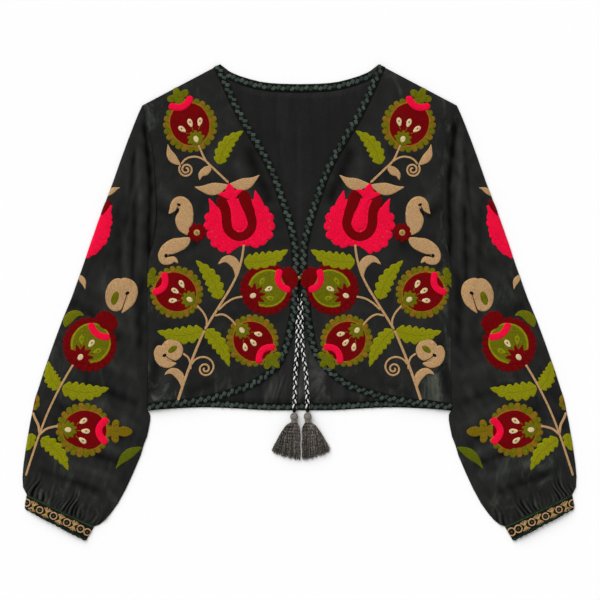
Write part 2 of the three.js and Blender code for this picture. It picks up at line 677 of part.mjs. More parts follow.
// Hook and eye: a low rounded stud where the fronts meet
function hookAndEye() {
  const { radius, height, y } = STUD;
  const seat = frontOver(frontEdgeAt(y), y) + SEAM + TRIM_THICK + SEAM;
  const profile = [[0, 0], [radius, 0], [radius, 0.5 * height], [0.6 * radius, 0.92 * height], [0, height]];
  const geometry = new THREE.LatheGeometry(profile.map((p) => new THREE.Vector2(...p)), 14);
  geometry.rotateX(Math.PI / 2);
  geometry.translate(0, y, seat);
  return geometry;
}

const jacket = new THREE.Group();
function add(name, geometry, material) {
  const mesh = new THREE.Mesh(geometry, material);
  mesh.name = name;
  jacket.add(mesh);
}

function addCuff(side) {
  const MIDDLE_INSET = 2.5;
  const edgingTop = CUFF.depth - CUFF.edging;
  const bandTop = SEAM + CUFF.piping + SEAM;
  const pipingDepths = [SEAM, SEAM + CUFF.piping / 2, SEAM + CUFF.piping];
  const bandDepths = [bandTop, bandTop + MIDDLE_INSET, edgingTop - MIDDLE_INSET, edgingTop];
  const edgingDepths = [edgingTop + SEAM, CUFF.depth - 1.2];
  const pipingRows = cuffPart(pipingDepths, [1.3, 2.3, 1.3], 20);
  const bandRows = cuffPart(bandDepths, [1.2, 1.9, 1.9, 1.2], 20);
  const edgingRows = cuffPart(edgingDepths, [1.2, 1.1], 4 * SCALLOPS.count, SCALLOPS.drop);
  add(`cuff_piping_${side.name}`, tubeSolid(pipingRows, side.x), piping);
  add(`cuff_${side.name}`, tubeSolid(bandRows, side.x), band);
  add(`cuff_edging_${side.name}`, tubeSolid(edgingRows, side.x), edging);
}

const neckTrim = bandOnBack(neckAt, NECK_TRIM_WIDTH, NECK_TRIM.reach, 2 * NECK_TRIM.columns);
const hemTrim = bandOnBack((s) => hemAt(s) + HEM_TRIM_WIDTH, HEM_TRIM_WIDTH, HEM_TRIM_REACH, 30);
add('back_panel', backPanel(), velvet);
add('lining_back', liningBack(), liningCloth);
add('neck_trim_back', neckTrim, braid);
add('hem_trim_back', hemTrim, braid);
for (const side of SIDES) {
  const grid = frontGrid();
  add(`front_${side.name}`, wallSolid(grid, frontUnder, frontOver, side.x), velvet);
  add(`front_trim_${side.name}`, frontTrim(grid, side.x), braid);
  add(`sleeve_${side.name}`, tubeSolid(sleeveRows(), side.x), velvet);
  addCuff(side);
  add(`tie_cord_${side.name}`, tieCord(side), cordYarn);
  add(`tassel_${side.name}`, tassel(side), tasselYarn);
}
add('hook_and_eye', hookAndEye(), wire);

export default jacket;
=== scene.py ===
"""A folk bolero jacket of black velvet, laid out flat on its back with its fronts up.

Tables give places in millimetres as s, the distance from the centre line, and y, towards the neck.
Both halves of the jacket share them: x is s on the wearer's left and minus s on the right.
"""
import logging
import math
from collections.abc import Callable
from dataclasses import dataclass, field
from enum import Enum
from functools import partial

import bpy
import numpy as np
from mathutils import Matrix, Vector
from mathutils.bvhtree import BVHTree


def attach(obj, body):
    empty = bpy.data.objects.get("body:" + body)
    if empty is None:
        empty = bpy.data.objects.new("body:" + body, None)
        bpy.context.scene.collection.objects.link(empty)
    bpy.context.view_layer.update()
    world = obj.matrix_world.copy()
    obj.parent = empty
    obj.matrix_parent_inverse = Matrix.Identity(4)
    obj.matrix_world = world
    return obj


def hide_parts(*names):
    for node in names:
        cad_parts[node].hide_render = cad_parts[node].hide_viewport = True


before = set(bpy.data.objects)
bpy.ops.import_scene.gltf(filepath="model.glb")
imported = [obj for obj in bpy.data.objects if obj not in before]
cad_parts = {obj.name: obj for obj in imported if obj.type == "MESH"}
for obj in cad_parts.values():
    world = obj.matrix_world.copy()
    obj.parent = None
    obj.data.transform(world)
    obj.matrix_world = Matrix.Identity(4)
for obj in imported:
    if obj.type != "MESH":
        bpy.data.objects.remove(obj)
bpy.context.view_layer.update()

LOG = logging.getLogger("bolero")
MM = 0.001
SKY_Z = 0.1  # rays fall on the cloth from here
WELD = 0.02 * MM  # points of a solid that are nearer than this are one
SIDES = {1: "left", -1: "right"}  # the wearer's sides
Point = tuple[float, float]
Row = tuple[float, float, float]
Faces = list[tuple[int, ...]]
Shaping = Callable[[np.ndarray, np.ndarray], np.ndarray]
Tree = bpy.types.NodeTree
Socket = bpy.types.NodeSocket


class Figure(Enum):
    """A cuff's woven figures."""

    RING = "r"
    CROSS = "c"


class Dye(Enum):
    """Yarn colours, as sRGB hex."""

    PINK = "#fb0a3e"
    DARK_RED = "#740004"
    OLIVE = "#6b6c06"
    LEAF = "#8c8c0a"
    MOSS = "#5c640a"
    OCHRE = "#96691a"
    MUSTARD = "#80680c"
    TAN = "#c29a6c"
    CREAM = "#e6cf9e"
    BLACK = "#101211"
    TEAL = "#434f47"
    WHITE = "#f2f2ee"
    BLACK_GREEN = "#131f16"
    PIPING_GREEN = "#2a3f2a"
    GREY = "#8f877f"

    @property
    def rgb(self) -> np.ndarray:
        """Its linear red, green and blue."""
        return np.array(to_linear(self.value)[:3])


def to_linear(hex_colour: str) -> tuple[float, float, float, float]:
    """Turns an sRGB hex colour to linear RGBA.

    Args:
        hex_colour: the colour as "#rrggbb".

    Returns:
        Its linear red, green, blue and an alpha of 1.
    """
    parts = [int(hex_colour[i : i + 2], 16) / 255 for i in (1, 3, 5)]
    linear = [c / 12.92 if c <= 0.04045 else ((c + 0.055) / 1.055) ** 2.4 for c in parts]
    return (linear[0], linear[1], linear[2], 1.0)


def grey(value: float) -> tuple[float, float, float, float]:
    """A linear grey."""
    return (value, value, value, 1.0)


def feed(node: bpy.types.Node, inputs: dict) -> None:
    """Gives each named input of a shader node its value, or the socket that drives it."""
    for name, value in inputs.items():
        if isinstance(value, Socket):
            node.id_data.links.new(value, node.inputs[name])
        else:
            node.inputs[name].default_value = value


def add_node(tree: Tree, kind: str, inputs: dict | None = None, **settings: object) -> bpy.types.Node:
    """Adds a shader node with its settings, values and links.

    Args:
        tree: the material's node tree.
        kind: the node's type name, after "ShaderNode".
        inputs: a value or an output socket for each input, by name or number.
        **settings: the node's own properties.

    Returns:
        The new node.
    """
    node = tree.nodes.new(f"ShaderNode{kind}")
    for name, value in settings.items():
        setattr(node, name, value)
    feed(node, inputs or {})
    return node


def noise(tree: Tree, place: Socket, scale: float, **more: float) -> Socket:
    """Adds a noise of the given scale, and gives its value."""
    return add_node(tree, "TexNoise", {"Vector": place, "Scale": scale, **more}).outputs["Fac"]


def maths(tree: Tree, operation: str, *values: object, clamp: bool = False) -> Socket:
    """Adds a step of arithmetic on values or sockets, and gives its result."""
    return add_node(tree, "Math", dict(enumerate(values)), operation=operation, use_clamp=clamp).outputs[0]


def ramp(tree: Tree, factor: Socket, *stops: tuple[float, tuple]) -> Socket:
    """Adds a colour ramp of two stops.

    Args:
        tree: the material's node tree.
        factor: what drives the ramp.
        *stops: a position and a linear colour for each stop.

    Returns:
        The ramp's colour.
    """
    node = add_node(tree, "ValToRGB", {"Fac": factor})
    for element, (place, colour) in zip(node.color_ramp.elements, stops):
        element.position = place
        element.color = colour
    return node.outputs["Color"]


def bump(tree: Tree, height: Socket, strength: float, deep: float) -> Socket:
    """Adds a bump of a depth in millimetres, and gives its normal."""
    return add_node(tree, "Bump", {"Height": height, "Strength": strength, "Distance": deep * MM}).outputs[0]


def new_material(name: str, look: str) -> tuple[bpy.types.Material, Tree, bpy.types.Node]:
    """Makes a material with a bare Principled shader.

    Args:
        name: the real material's name.
        look: the sRGB hex colour that it shows in the viewport.

    Returns:
        The material, its node tree and the shader.
    """
    material = bpy.data.materials.new(name)
    material.use_nodes = True
    material.diffuse_color = to_linear(look)
    tree = material.node_tree
    tree.nodes.clear()
    shader = add_node(tree, "BsdfPrincipled")
    add_node(tree, "OutputMaterial", {"Surface": shader.outputs[0]})
    return material, tree, shader


@dataclass(frozen=True)
class PileCloth:
    """Cut-pile velvet or brushed lining: dark, matt, pale where the pile is crushed.

    The pile scatters light at a glance, so it has sheen. Its nap shows as a fine grain, and
    crushed places as soft pale smears some centimetres long. Real pile stands closer than a
    millimetre, too fine to show, so the nap is drawn coarser.
    """

    name: str
    low: str
    high: str
    crushed: str
    nap_mm: float = 1.1
    smear_mm: float = 26.0
    roughness: float = 0.85
    sheen: float = 0.06
    specular: float = 0.06
    bump_mm: float = 0.25
    # How strongly the fold attribute paints shade and highlight into the colour.
    shading: float = 0.8

    def build(self) -> bpy.types.Material:
        """Builds the material.

        Returns:
            The finished material.
        """
        material, tree, shader = new_material(self.name, self.high)
        place = add_node(tree, "TexCoord").outputs["Object"]
        nap = noise(tree, place, 1 / (self.nap_mm * MM), Detail=3.0)
        drift = noise(tree, place, 9.0, Detail=4.0, Roughness=0.6)
        stretched = add_node(tree, "Mapping", {"Vector": place, "Scale": (1.0, 0.42, 1.0)}).outputs[0]
        smear = noise(tree, stretched, 1 / (self.smear_mm * MM), Detail=7.0, Roughness=0.68, Distortion=0.9)
        grain = maths(tree, "MULTIPLY", drift, nap)
        base = ramp(tree, grain, (0.12, to_linear(self.low)), (0.42, to_linear(self.high)))
        crush = add_node(tree, "Attribute", attribute_name="crush").outputs["Fac"]
        smeared = ramp(tree, smear, (0.52, grey(0)), (0.78, grey(1)))
        amount = maths(tree, "MULTIPLY", smeared, crush, clamp=True)
        colour = add_node(tree, "MixRGB", {"Fac": amount, "Color1": base, "Color2": to_linear(self.crushed)})
        # Painted shade and painted highlight: the colour is darker in fold troughs and paler on fold ridges,
        # by the fold attribute.
        fold = add_node(tree, "Attribute", attribute_name="fold").outputs["Fac"]
        lean = maths(tree, "MULTIPLY_ADD", fold, self.shading, 1.0)
        shaded = add_node(tree, "VectorMath", {0: colour.outputs[0], "Scale": lean}, operation="SCALE")
        feed(shader, {
            "Base Color": shaded.outputs[0],
            "Normal": bump(tree, maths(tree, "MULTIPLY_ADD", smear, 2.0, nap), 0.55, self.bump_mm),
            "Roughness": self.roughness,
            "Specular IOR Level": self.specular,
            "Sheen Weight": self.sheen,
            "Sheen Roughness": 0.45,
            "Sheen Tint": grey(0.75),
        })
        return material


@dataclass(frozen=True)
class StitchedFloss:
    """Silk or cotton floss: its dye is on the mesh, and its stitches run along the piece's own UV.

    Rows of stitches catch the light, so each row has a raised middle, and the dye varies a
    little from stitch to stitch. UV is in millimetres: x across the rows, y along them. Real
    floss is finer, too fine to show, so its rows are drawn about twice as wide.
    """

    name: str
    look: str
    row_mm: float = 1.3
    stitch_mm: float = 3.2
    variation: float = 0.34
    roughness: float = 0.7
    sheen: float = 0.015
    specular: float = 0.05
    bump_mm: float = 0.3

    def build(self) -> bpy.types.Material:
        """Builds the material.

        Returns:
            The finished material.
        """
        material, tree, shader = new_material(self.name, self.look)
        dye = add_node(tree, "Attribute", attribute_name="dye").outputs["Color"]
        uv = add_node(tree, "UVMap", uv_map="stitches").outputs[0]
        pitch = (1 / self.row_mm, 1 / self.stitch_mm, 1.0)
        rows = add_node(tree, "Mapping", {"Vector": uv, "Scale": pitch}).outputs[0]
        uneven = {"Vector": rows, "Scale": 0.5, "Distortion": 1.6, "Detail": 2.0, "Detail Scale": 1.5}
        wave = add_node(tree, "TexWave", uneven, wave_type="BANDS", bands_direction="X").outputs["Fac"]
        tone = noise(tree, rows, 0.9, Detail=3.0)
        share = ramp(tree, tone, (0.3, grey(1 - self.variation)), (0.7, grey(1 + self.variation * 0.6)))
        colour = add_node(tree, "VectorMath", {0: dye, 1: share}, operation="MULTIPLY")
        feed(shader, {
            "Base Color": colour.outputs[0],
            "Normal": bump(tree, maths(tree, "MULTIPLY_ADD", tone, 0.5, wave), 1.0, self.bump_mm),
            "Roughness": self.roughness,
            "Specular IOR Level": self.specular,
            "Sheen Weight": self.sheen,
            "Sheen Roughness": 0.4,
        })
        return material


@dataclass(frozen=True)
class AgedBrass:
    """Dull brass wire: a yellow metal, rubbed paler in patches."""

    name: str = "aged_brass"
    dark: str = "#4b4316"
    bright: str = "#a39344"

    def build(self) -> bpy.types.Material:
        """Builds the material.

        Returns:
            The finished material.
        """
        material, tree, shader = new_material(self.name, self.bright)
        place = add_node(tree, "TexCoord").outputs["Object"]
        wear = noise(tree, place, 900.0, Detail=4.0)
        feed(shader, {
            "Base Color": ramp(tree, wear, (0.35, to_linear(self.dark)), (0.62, to_linear(self.bright))),
            "Roughness": ramp(tree, wear, (0.3, grey(0.55)), (0.7, grey(0.3))),
            "Metallic": 1.0,
        })
        return material


@dataclass(frozen=True)
class PaleTable:
    """A plain white table top, matt."""

    name: str = "white_table"
    colour: str = "#f9f9f9"

    def build(self) -> bpy.types.Material:
        """Builds the material.

        Returns:
            The finished material.
        """
        material, _, shader = new_material(self.name, self.colour)
        feed(shader, {"Base Color": to_linear(self.colour), "Roughness": 0.9, "Specular IOR Level": 0.1})
        return material


FINISHES = (
    StitchedFloss("silk_floss", "#8f8f72"),
    StitchedFloss("braid_gimp", "#2c3a35", row_mm=1.1, stitch_mm=1.6, roughness=0.8, sheen=0.05),
    StitchedFloss("cotton_tie", "#d8d8d4", row_mm=1.2, stitch_mm=3.0, variation=0.12, roughness=0.85),
    StitchedFloss("wool_yarn", "#706864", row_mm=0.9, stitch_mm=2.6, roughness=0.9),
    PileCloth("cotton_velvet", "#161716", "#272826", "#565a50"),
    PileCloth("brushed_lining", "#141514", "#1f201f", "#4c4d49", nap_mm=1.6, smear_mm=60.0, roughness=0.7),
    PileCloth("cuff_cloth", "#0c0d0b", "#1a1b18", "#3a3c34", nap_mm=0.9),
    PileCloth("piping_cloth", "#1c3018", "#33502b", "#4d6440", nap_mm=0.9),
    PileCloth("loop_yarn", "#0c130e", "#1d2d20", "#3c5238", nap_mm=0.9),
    AgedBrass(),
)


def smooth_rise(value: np.ndarray, low: float, high: float) -> np.ndarray:
    """Rises smoothly from 0 where the values are at low to 1 where they are at high."""
    t = np.clip((value - low) / (high - low), 0.0, 1.0)
    return t * t * (3 - 2 * t)


def through(rows: list[tuple], step: float) -> np.ndarray:
    """Samples a smooth curve through the rows of a table.

    Args:
        rows: the rows; the first two columns are a place, and any others follow along.
        step: the distance between samples, in the places' own unit.

    Returns:
        The samples, a row each.
    """
    table = np.array(rows, float)
    padded = np.vstack([2 * table[0] - table[1], table, 2 * table[-1] - table[-2]])
    samples = []
    for i in range(1, len(padded) - 2):
        before, start, end, after = padded[i - 1 : i + 3]
        square = 2 * before - 5 * start + 4 * end - after
        cube = 3 * start - before - 3 * end + after
        count = max(2, int(math.ceil(np.linalg.norm((end - start)[:2]) / step)))
        for t in np.arange(count) / count:
            samples.append(0.5 * (2 * start + (end - before) * t + square * t * t + cube * t**3))
    samples.append(table[-1])
    return np.array(samples)


def left_of(line: np.ndarray) -> np.ndarray:
    """The unit directions to the left of a line in the plane, one for each of its places."""
    along = np.gradient(line[:, :2], axis=0)
    along /= np.maximum(np.linalg.norm(along, axis=1), 1e-9)[:, None]
    return np.stack([-along[:, 1], along[:, 0]], axis=1)


def run_along(line: np.ndarray) -> np.ndarray:
    """The distance travelled along a line, at each of its places."""
    return np.concatenate([[0], np.cumsum(np.linalg.norm(np.diff(line, axis=0), axis=1))])


def tube_faces(rings: int, sides: int, turned: bool = False) -> Faces:
    """The faces of a tube that is closed at both ends.

    Args:
        rings: the number of its rings.
        sides: the points of each ring.
        turned: whether its rings run the other way round.

    Returns:
        The faces, as indices of points.
    """
    faces = []
    for i in range(rings - 1):
        for j in range(sides):
            a, b = i * sides + j, i * sides + (j + 1) % sides
            faces.append((a, a + sides, b + sides, b) if turned else (a, b, b + sides, a + sides))
    first, last = tuple(range(sides)), tuple(range((rings - 1) * sides, rings * sides))
    return faces + ([first, last[::-1]] if turned else [first[::-1], last])


def pad_faces(rings: int, around: int, turned: bool = False) -> Faces:
    """The faces of a pad: a middle point, rings about it, and a flat back.

    Args:
        rings: the number of its rings.
        around: the points of each ring.
        turned: whether its rings run the other way round.

    Returns:
        The faces, as indices of points.
    """
    faces = []
    for k in range(around):
        n = (k + 1) % around
        faces.append((0, 1 + n, 1 + k))
        for a in range(1, 1 + (rings - 1) * around, around):
            faces.append((a + k, a + n, a + n + around, a + k + around))
    faces.append(tuple(range(1 + (rings - 1) * around, 1 + rings * around)))
    return [face[:1] + face[:0:-1] for face in faces] if turned else faces


@dataclass
class Body:
    """One closed body of a joined piece: points in millimetres, faces, dye and UV."""

    points: np.ndarray
    faces: Faces
    dye: np.ndarray
    uv: np.ndarray


def finish_piece(piece: bpy.types.Object, slot: str, replaced: tuple[str, ...] = ()) -> bpy.types.Object:
    """Hands a piece to the frame: its body, and hides the CAD nodes that it stands for.

    Args:
        piece: the finished piece.
        slot: the record's material slot; not used.
        replaced: the CAD nodes that it replaces.

    Returns:
        The piece.
    """
    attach(piece, "root")
    if replaced:
        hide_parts(*replaced)
    LOG.info("%s: %d faces", piece.name, len(piece.data.polygons))
    return piece


def joined(name: str, bodies: list[Body], material: bpy.types.Material) -> bpy.types.Object:
    """Joins closed bodies into one smooth object.

    Args:
        name: the piece's name.
        bodies: its bodies.
        material: its finish.

    Returns:
        The new object.
    """
    faces, total = [], 0
    for body in bodies:
        faces.extend(tuple(total + i for i in face) for face in body.faces)
        total += len(body.points)
    mesh = bpy.data.meshes.new(name)
    mesh.from_pydata((np.vstack([body.points for body in bodies]) * MM).tolist(), [], faces)
    mesh.validate()
    mesh.materials.append(material)
    piece = bpy.data.objects.new(name, mesh)
    bpy.context.scene.collection.objects.link(piece)
    dyes = np.ones((total, 4), np.float32)
    dyes[:, :3] = np.vstack([np.broadcast_to(body.dye, (len(body.points), 3)) for body in bodies])
    mesh.color_attributes.new("dye", "FLOAT_COLOR", "POINT").data.foreach_set("color", dyes.ravel())
    corners = np.zeros(len(mesh.loops), np.int32)
    mesh.loops.foreach_get("vertex_index", corners)
    uv = np.vstack([body.uv for body in bodies])[corners].astype(np.float32)
    mesh.uv_layers.new(name="stitches").data.foreach_set("uv", uv.ravel())
    mesh.polygons.foreach_set("use_smooth", np.ones(len(mesh.polygons), bool))
    mesh.update()
    return piece


def copy_of_solid(node: str, name: str, material: bpy.types.Material) -> bpy.types.Object:
    """Copies a CAD solid's mesh into an object of its own, merged at its points and left active.

    Args:
        node: the CAD node.
        name: the copy's name.
        material: its finish.

    Returns:
        The copy.
    """
    bpy.ops.object.select_all(action="DESELECT")
    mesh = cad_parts[node].data.copy()
    mesh.name = name
    mesh.materials.clear()
    mesh.materials.append(material)
    piece = bpy.data.objects.new(name, mesh)
    bpy.context.scene.collection.objects.link(piece)
    piece.select_set(True)
    bpy.context.view_layer.objects.active = piece
    bpy.ops.object.mode_set(mode="EDIT")
    bpy.ops.mesh.select_all(action="SELECT")
    bpy.ops.mesh.remove_doubles(threshold=WELD)
    bpy.ops.object.mode_set(mode="OBJECT")
    return piece


def trees_of(*pieces: bpy.types.Object) -> list[BVHTree]:
    """Makes ray-cast trees of pieces whose meshes stand in place."""
    trees = []
    for piece in pieces:
        places = [vertex.co.copy() for vertex in piece.data.vertices]
        trees.append(BVHTree.FromPolygons(places, [tuple(face.vertices) for face in piece.data.polygons]))
    return trees


def top_of(trees: list[BVHTree], x: float, y: float) -> float | None:
    """The highest place of some surfaces over a place on the floor, if there is one; in millimetres."""
    hits = [tree.ray_cast(Vector((x * MM, y * MM, SKY_Z)), Vector((0, 0, -1)))[0] for tree in trees]
    return max((hit.z / MM for hit in hits if hit is not None), default=None)


@dataclass(frozen=True)
class Fold:
    """One soft fold: its ends, its half width and its height, below 0 for a trough."""

    s0: float
    y0: float
    s1: float
    y1: float
    width: float
    height: float

    def lift(self, s: np.ndarray, y: np.ndarray) -> np.ndarray:
        """How far the fold lifts the cloth.

        Args:
            s: distances from the centre line.
            y: places along it.

        Returns:
            The lift at each place, in millimetres.
        """
        run, drop = self.s1 - self.s0, self.y1 - self.y0
        length = math.hypot(run, drop)
        along = ((s - self.s0) * run + (y - self.y0) * drop) / length
        across = ((s - self.s0) * drop - (y - self.y0) * run) / length
        bend = 0.12 * self.width * np.sin(along / 17.0 + self.s0)
        half = max(self.width, 0.22 * length) / 2
        ends = smooth_rise(along, -half, half) * (1 - smooth_rise(along, length - half, length + half))
        return self.height * ends * np.exp(-(((across + bend) / self.width) ** 2))


def ripples(s: np.ndarray, y: np.ndarray, seed: int, pitch: float, count: int = 7) -> np.ndarray:
    """Soft uneven ripples, from a few waves in seeded directions.

    Args:
        s: distances from the centre line.
        y: places along it.
        seed: the seed of the waves.
        pitch: the mean distance between crests, in millimetres.
        count: the number of waves.

    Returns:
        Heights of about -1 to 1.
    """
    random = np.random.default_rng(seed)
    total = np.zeros_like(s)
    for _ in range(count):
        angle, phase = random.uniform(0, math.pi), random.uniform(0, 2 * math.pi)
        wave = 2 * math.pi / (pitch * random.uniform(0.6, 1.7))
        bend = 0.8 * np.sin(wave * 0.4 * s)
        total += np.sin(wave * (s * math.cos(angle) + y * math.sin(angle)) + phase + bend)
    return total / math.sqrt(count) / 1.4


@dataclass
class ClothShell:
    """A cloth piece on its solid's form, made fine and creased."""

    node: str
    name: str
    material: bpy.types.Material
    slot: str
    levels: int
    soften: int
    ripple_mm: float
    side: int = 1
    ripple_pitch: float = 24.0
    seed: int = 1
    folds: tuple[Fold, ...] = ()
    sculpt: Shaping | None = None
    crush: Shaping | None = None
    draw_in: Shaping | None = None
    cut: Point | None = None
    area: float = 0.0
    held: str = "laid"

    def build(self) -> bpy.types.Object:
        """Builds the piece and hands it to the frame.

        Returns:
            The finished cloth.
        """
        piece = copy_of_solid(self.node, self.name, self.material)
        self.refine(piece)
        self.crease(piece.data)
        finish_piece(piece, self.slot, (self.node,))
        if self.cut:
            self.area or None
        return piece

    def refine(self, piece: bpy.types.Object) -> None:
        """Joins triangles to whole faces, divides these and rounds off their facets, in height only.

        Args:
            piece: the cloth.
        """
        bpy.ops.object.mode_set(mode="EDIT")
        bpy.ops.mesh.tris_convert_to_quads(face_threshold=0.9, shape_threshold=1.2)
        bpy.ops.object.mode_set(mode="OBJECT")
        divide = piece.modifiers.new("divide", "SUBSURF")
        divide.subdivision_type = "SIMPLE"
        divide.levels = divide.render_levels = self.levels
        bpy.ops.object.modifier_apply(modifier="divide")
        soften = piece.modifiers.new("soften", "SMOOTH")
        soften.use_x = soften.use_y = False
        soften.factor = 0.5
        soften.iterations = self.soften
        bpy.ops.object.modifier_apply(modifier="soften")

    def crease(self, mesh: bpy.types.Mesh) -> None:
        """Lays the folds and ripples into the face that shows, and marks where the pile is crushed.

        Args:
            mesh: the cloth's mesh.
        """
        count = len(mesh.vertices)
        places, facing = np.zeros(count * 3, np.float32), np.zeros(count * 3, np.float32)
        mesh.vertices.foreach_get("co", places)
        mesh.vertices.foreach_get("normal", facing)
        places = places.reshape(-1, 3)
        s, y = places[:, 0] * self.side / MM, places[:, 1] / MM
        up = smooth_rise(facing[2::3], 0.25, 0.85)
        lift = self.ripple_mm * ripples(s, y, self.seed, self.ripple_pitch)
        for fold in self.folds:
            lift += fold.lift(s, y)
        if self.sculpt:
            lift += self.sculpt(s, y)
        lowest = np.minimum(places[:, 2], 0.5 * MM)  # an inner floor is troughed no lower than this
        places[:, 2] = np.maximum(places[:, 2] + up * lift * MM, lowest)
        if self.draw_in:
            places[:, 0] -= (self.side * self.draw_in(s, y) * MM).astype(np.float32)
        mesh.vertices.foreach_set("co", places.ravel())
        marks = self.crush(s, y) if self.crush else np.full(count, 0.2)
        # The fold attribute carries painted shade and painted highlight: the finish darkens the colour in fold
        # troughs and lightens it on ridges, by the lift.
        for word, values in (("crush", np.clip(marks, 0, 1)), ("fold", np.clip(lift, -1.2, 1.6))):
            layer = mesh.attributes.new(word, "FLOAT", "POINT")
            layer.data.foreach_set("value", values.astype(np.float32))
        mesh.polygons.foreach_set("use_smooth", np.ones(len(mesh.polygons), bool))
        mesh.update()


# A band's points across it, as shares of its half width, and their heights, as shares of its lift.
ACROSS = np.array([-1.0, -0.93, -0.7, -0.3, 0.3, 0.7, 0.93, 1.0])
DOME = np.array([-0.25, 0.55, 0.86, 1.0, 1.0, 0.86, 0.55, -0.25])
# A filled shape's rings, as shares of its reach, and their heights, as shares of its lift.
RINGS = np.array([0.3, 0.58, 0.8, 0.93, 0.985, 1.0])
RING_DOME = np.array([1.0, 0.97, 0.9, 0.74, 0.45, -0.25])
# A leaf's half width, as a share of its widest, at shares of its length.
LEAF_LOBED = ((0, 0.3), (0.1, 0.8), (0.26, 1.0), (0.46, 0.98), (0.66, 0.78), (0.84, 0.46), (1, 0.05))
LEAF_PLAIN = ((0, 0.1), (0.14, 0.56), (0.36, 1.0), (0.58, 0.92), (0.8, 0.44), (1, 0.05))
# The edges of a pomegranate's heart and crown: an angle from the axis and a share of the radius.
HEART = (
    (-180, 0.82), (-150, 0.78), (-110, 0.74), (-75, 0.75), (-45, 0.8), (0, 0.84),
    (45, 0.8), (75, 0.75), (110, 0.74), (150, 0.78), (180, 0.82),
)
CROWN_SIDE = ((48, 0.2), (68, 0.38), (88, 0.42), (108, 0.34), (128, 0.22), (155, 0.27), (180, 0.3))
CROWN_TOP = ((-30, 0.25), (-12, 0.37), (0, 0.42), (12, 0.37), (30, 0.25))


def notched(angles: np.ndarray, lobes: int, depth: float) -> np.ndarray:
    """The share of a shape's reach at each angle, where notches of a depth part its lobes."""
    return 1 - depth * (1 - np.abs(np.sin(lobes * angles / 2)) ** 0.5)


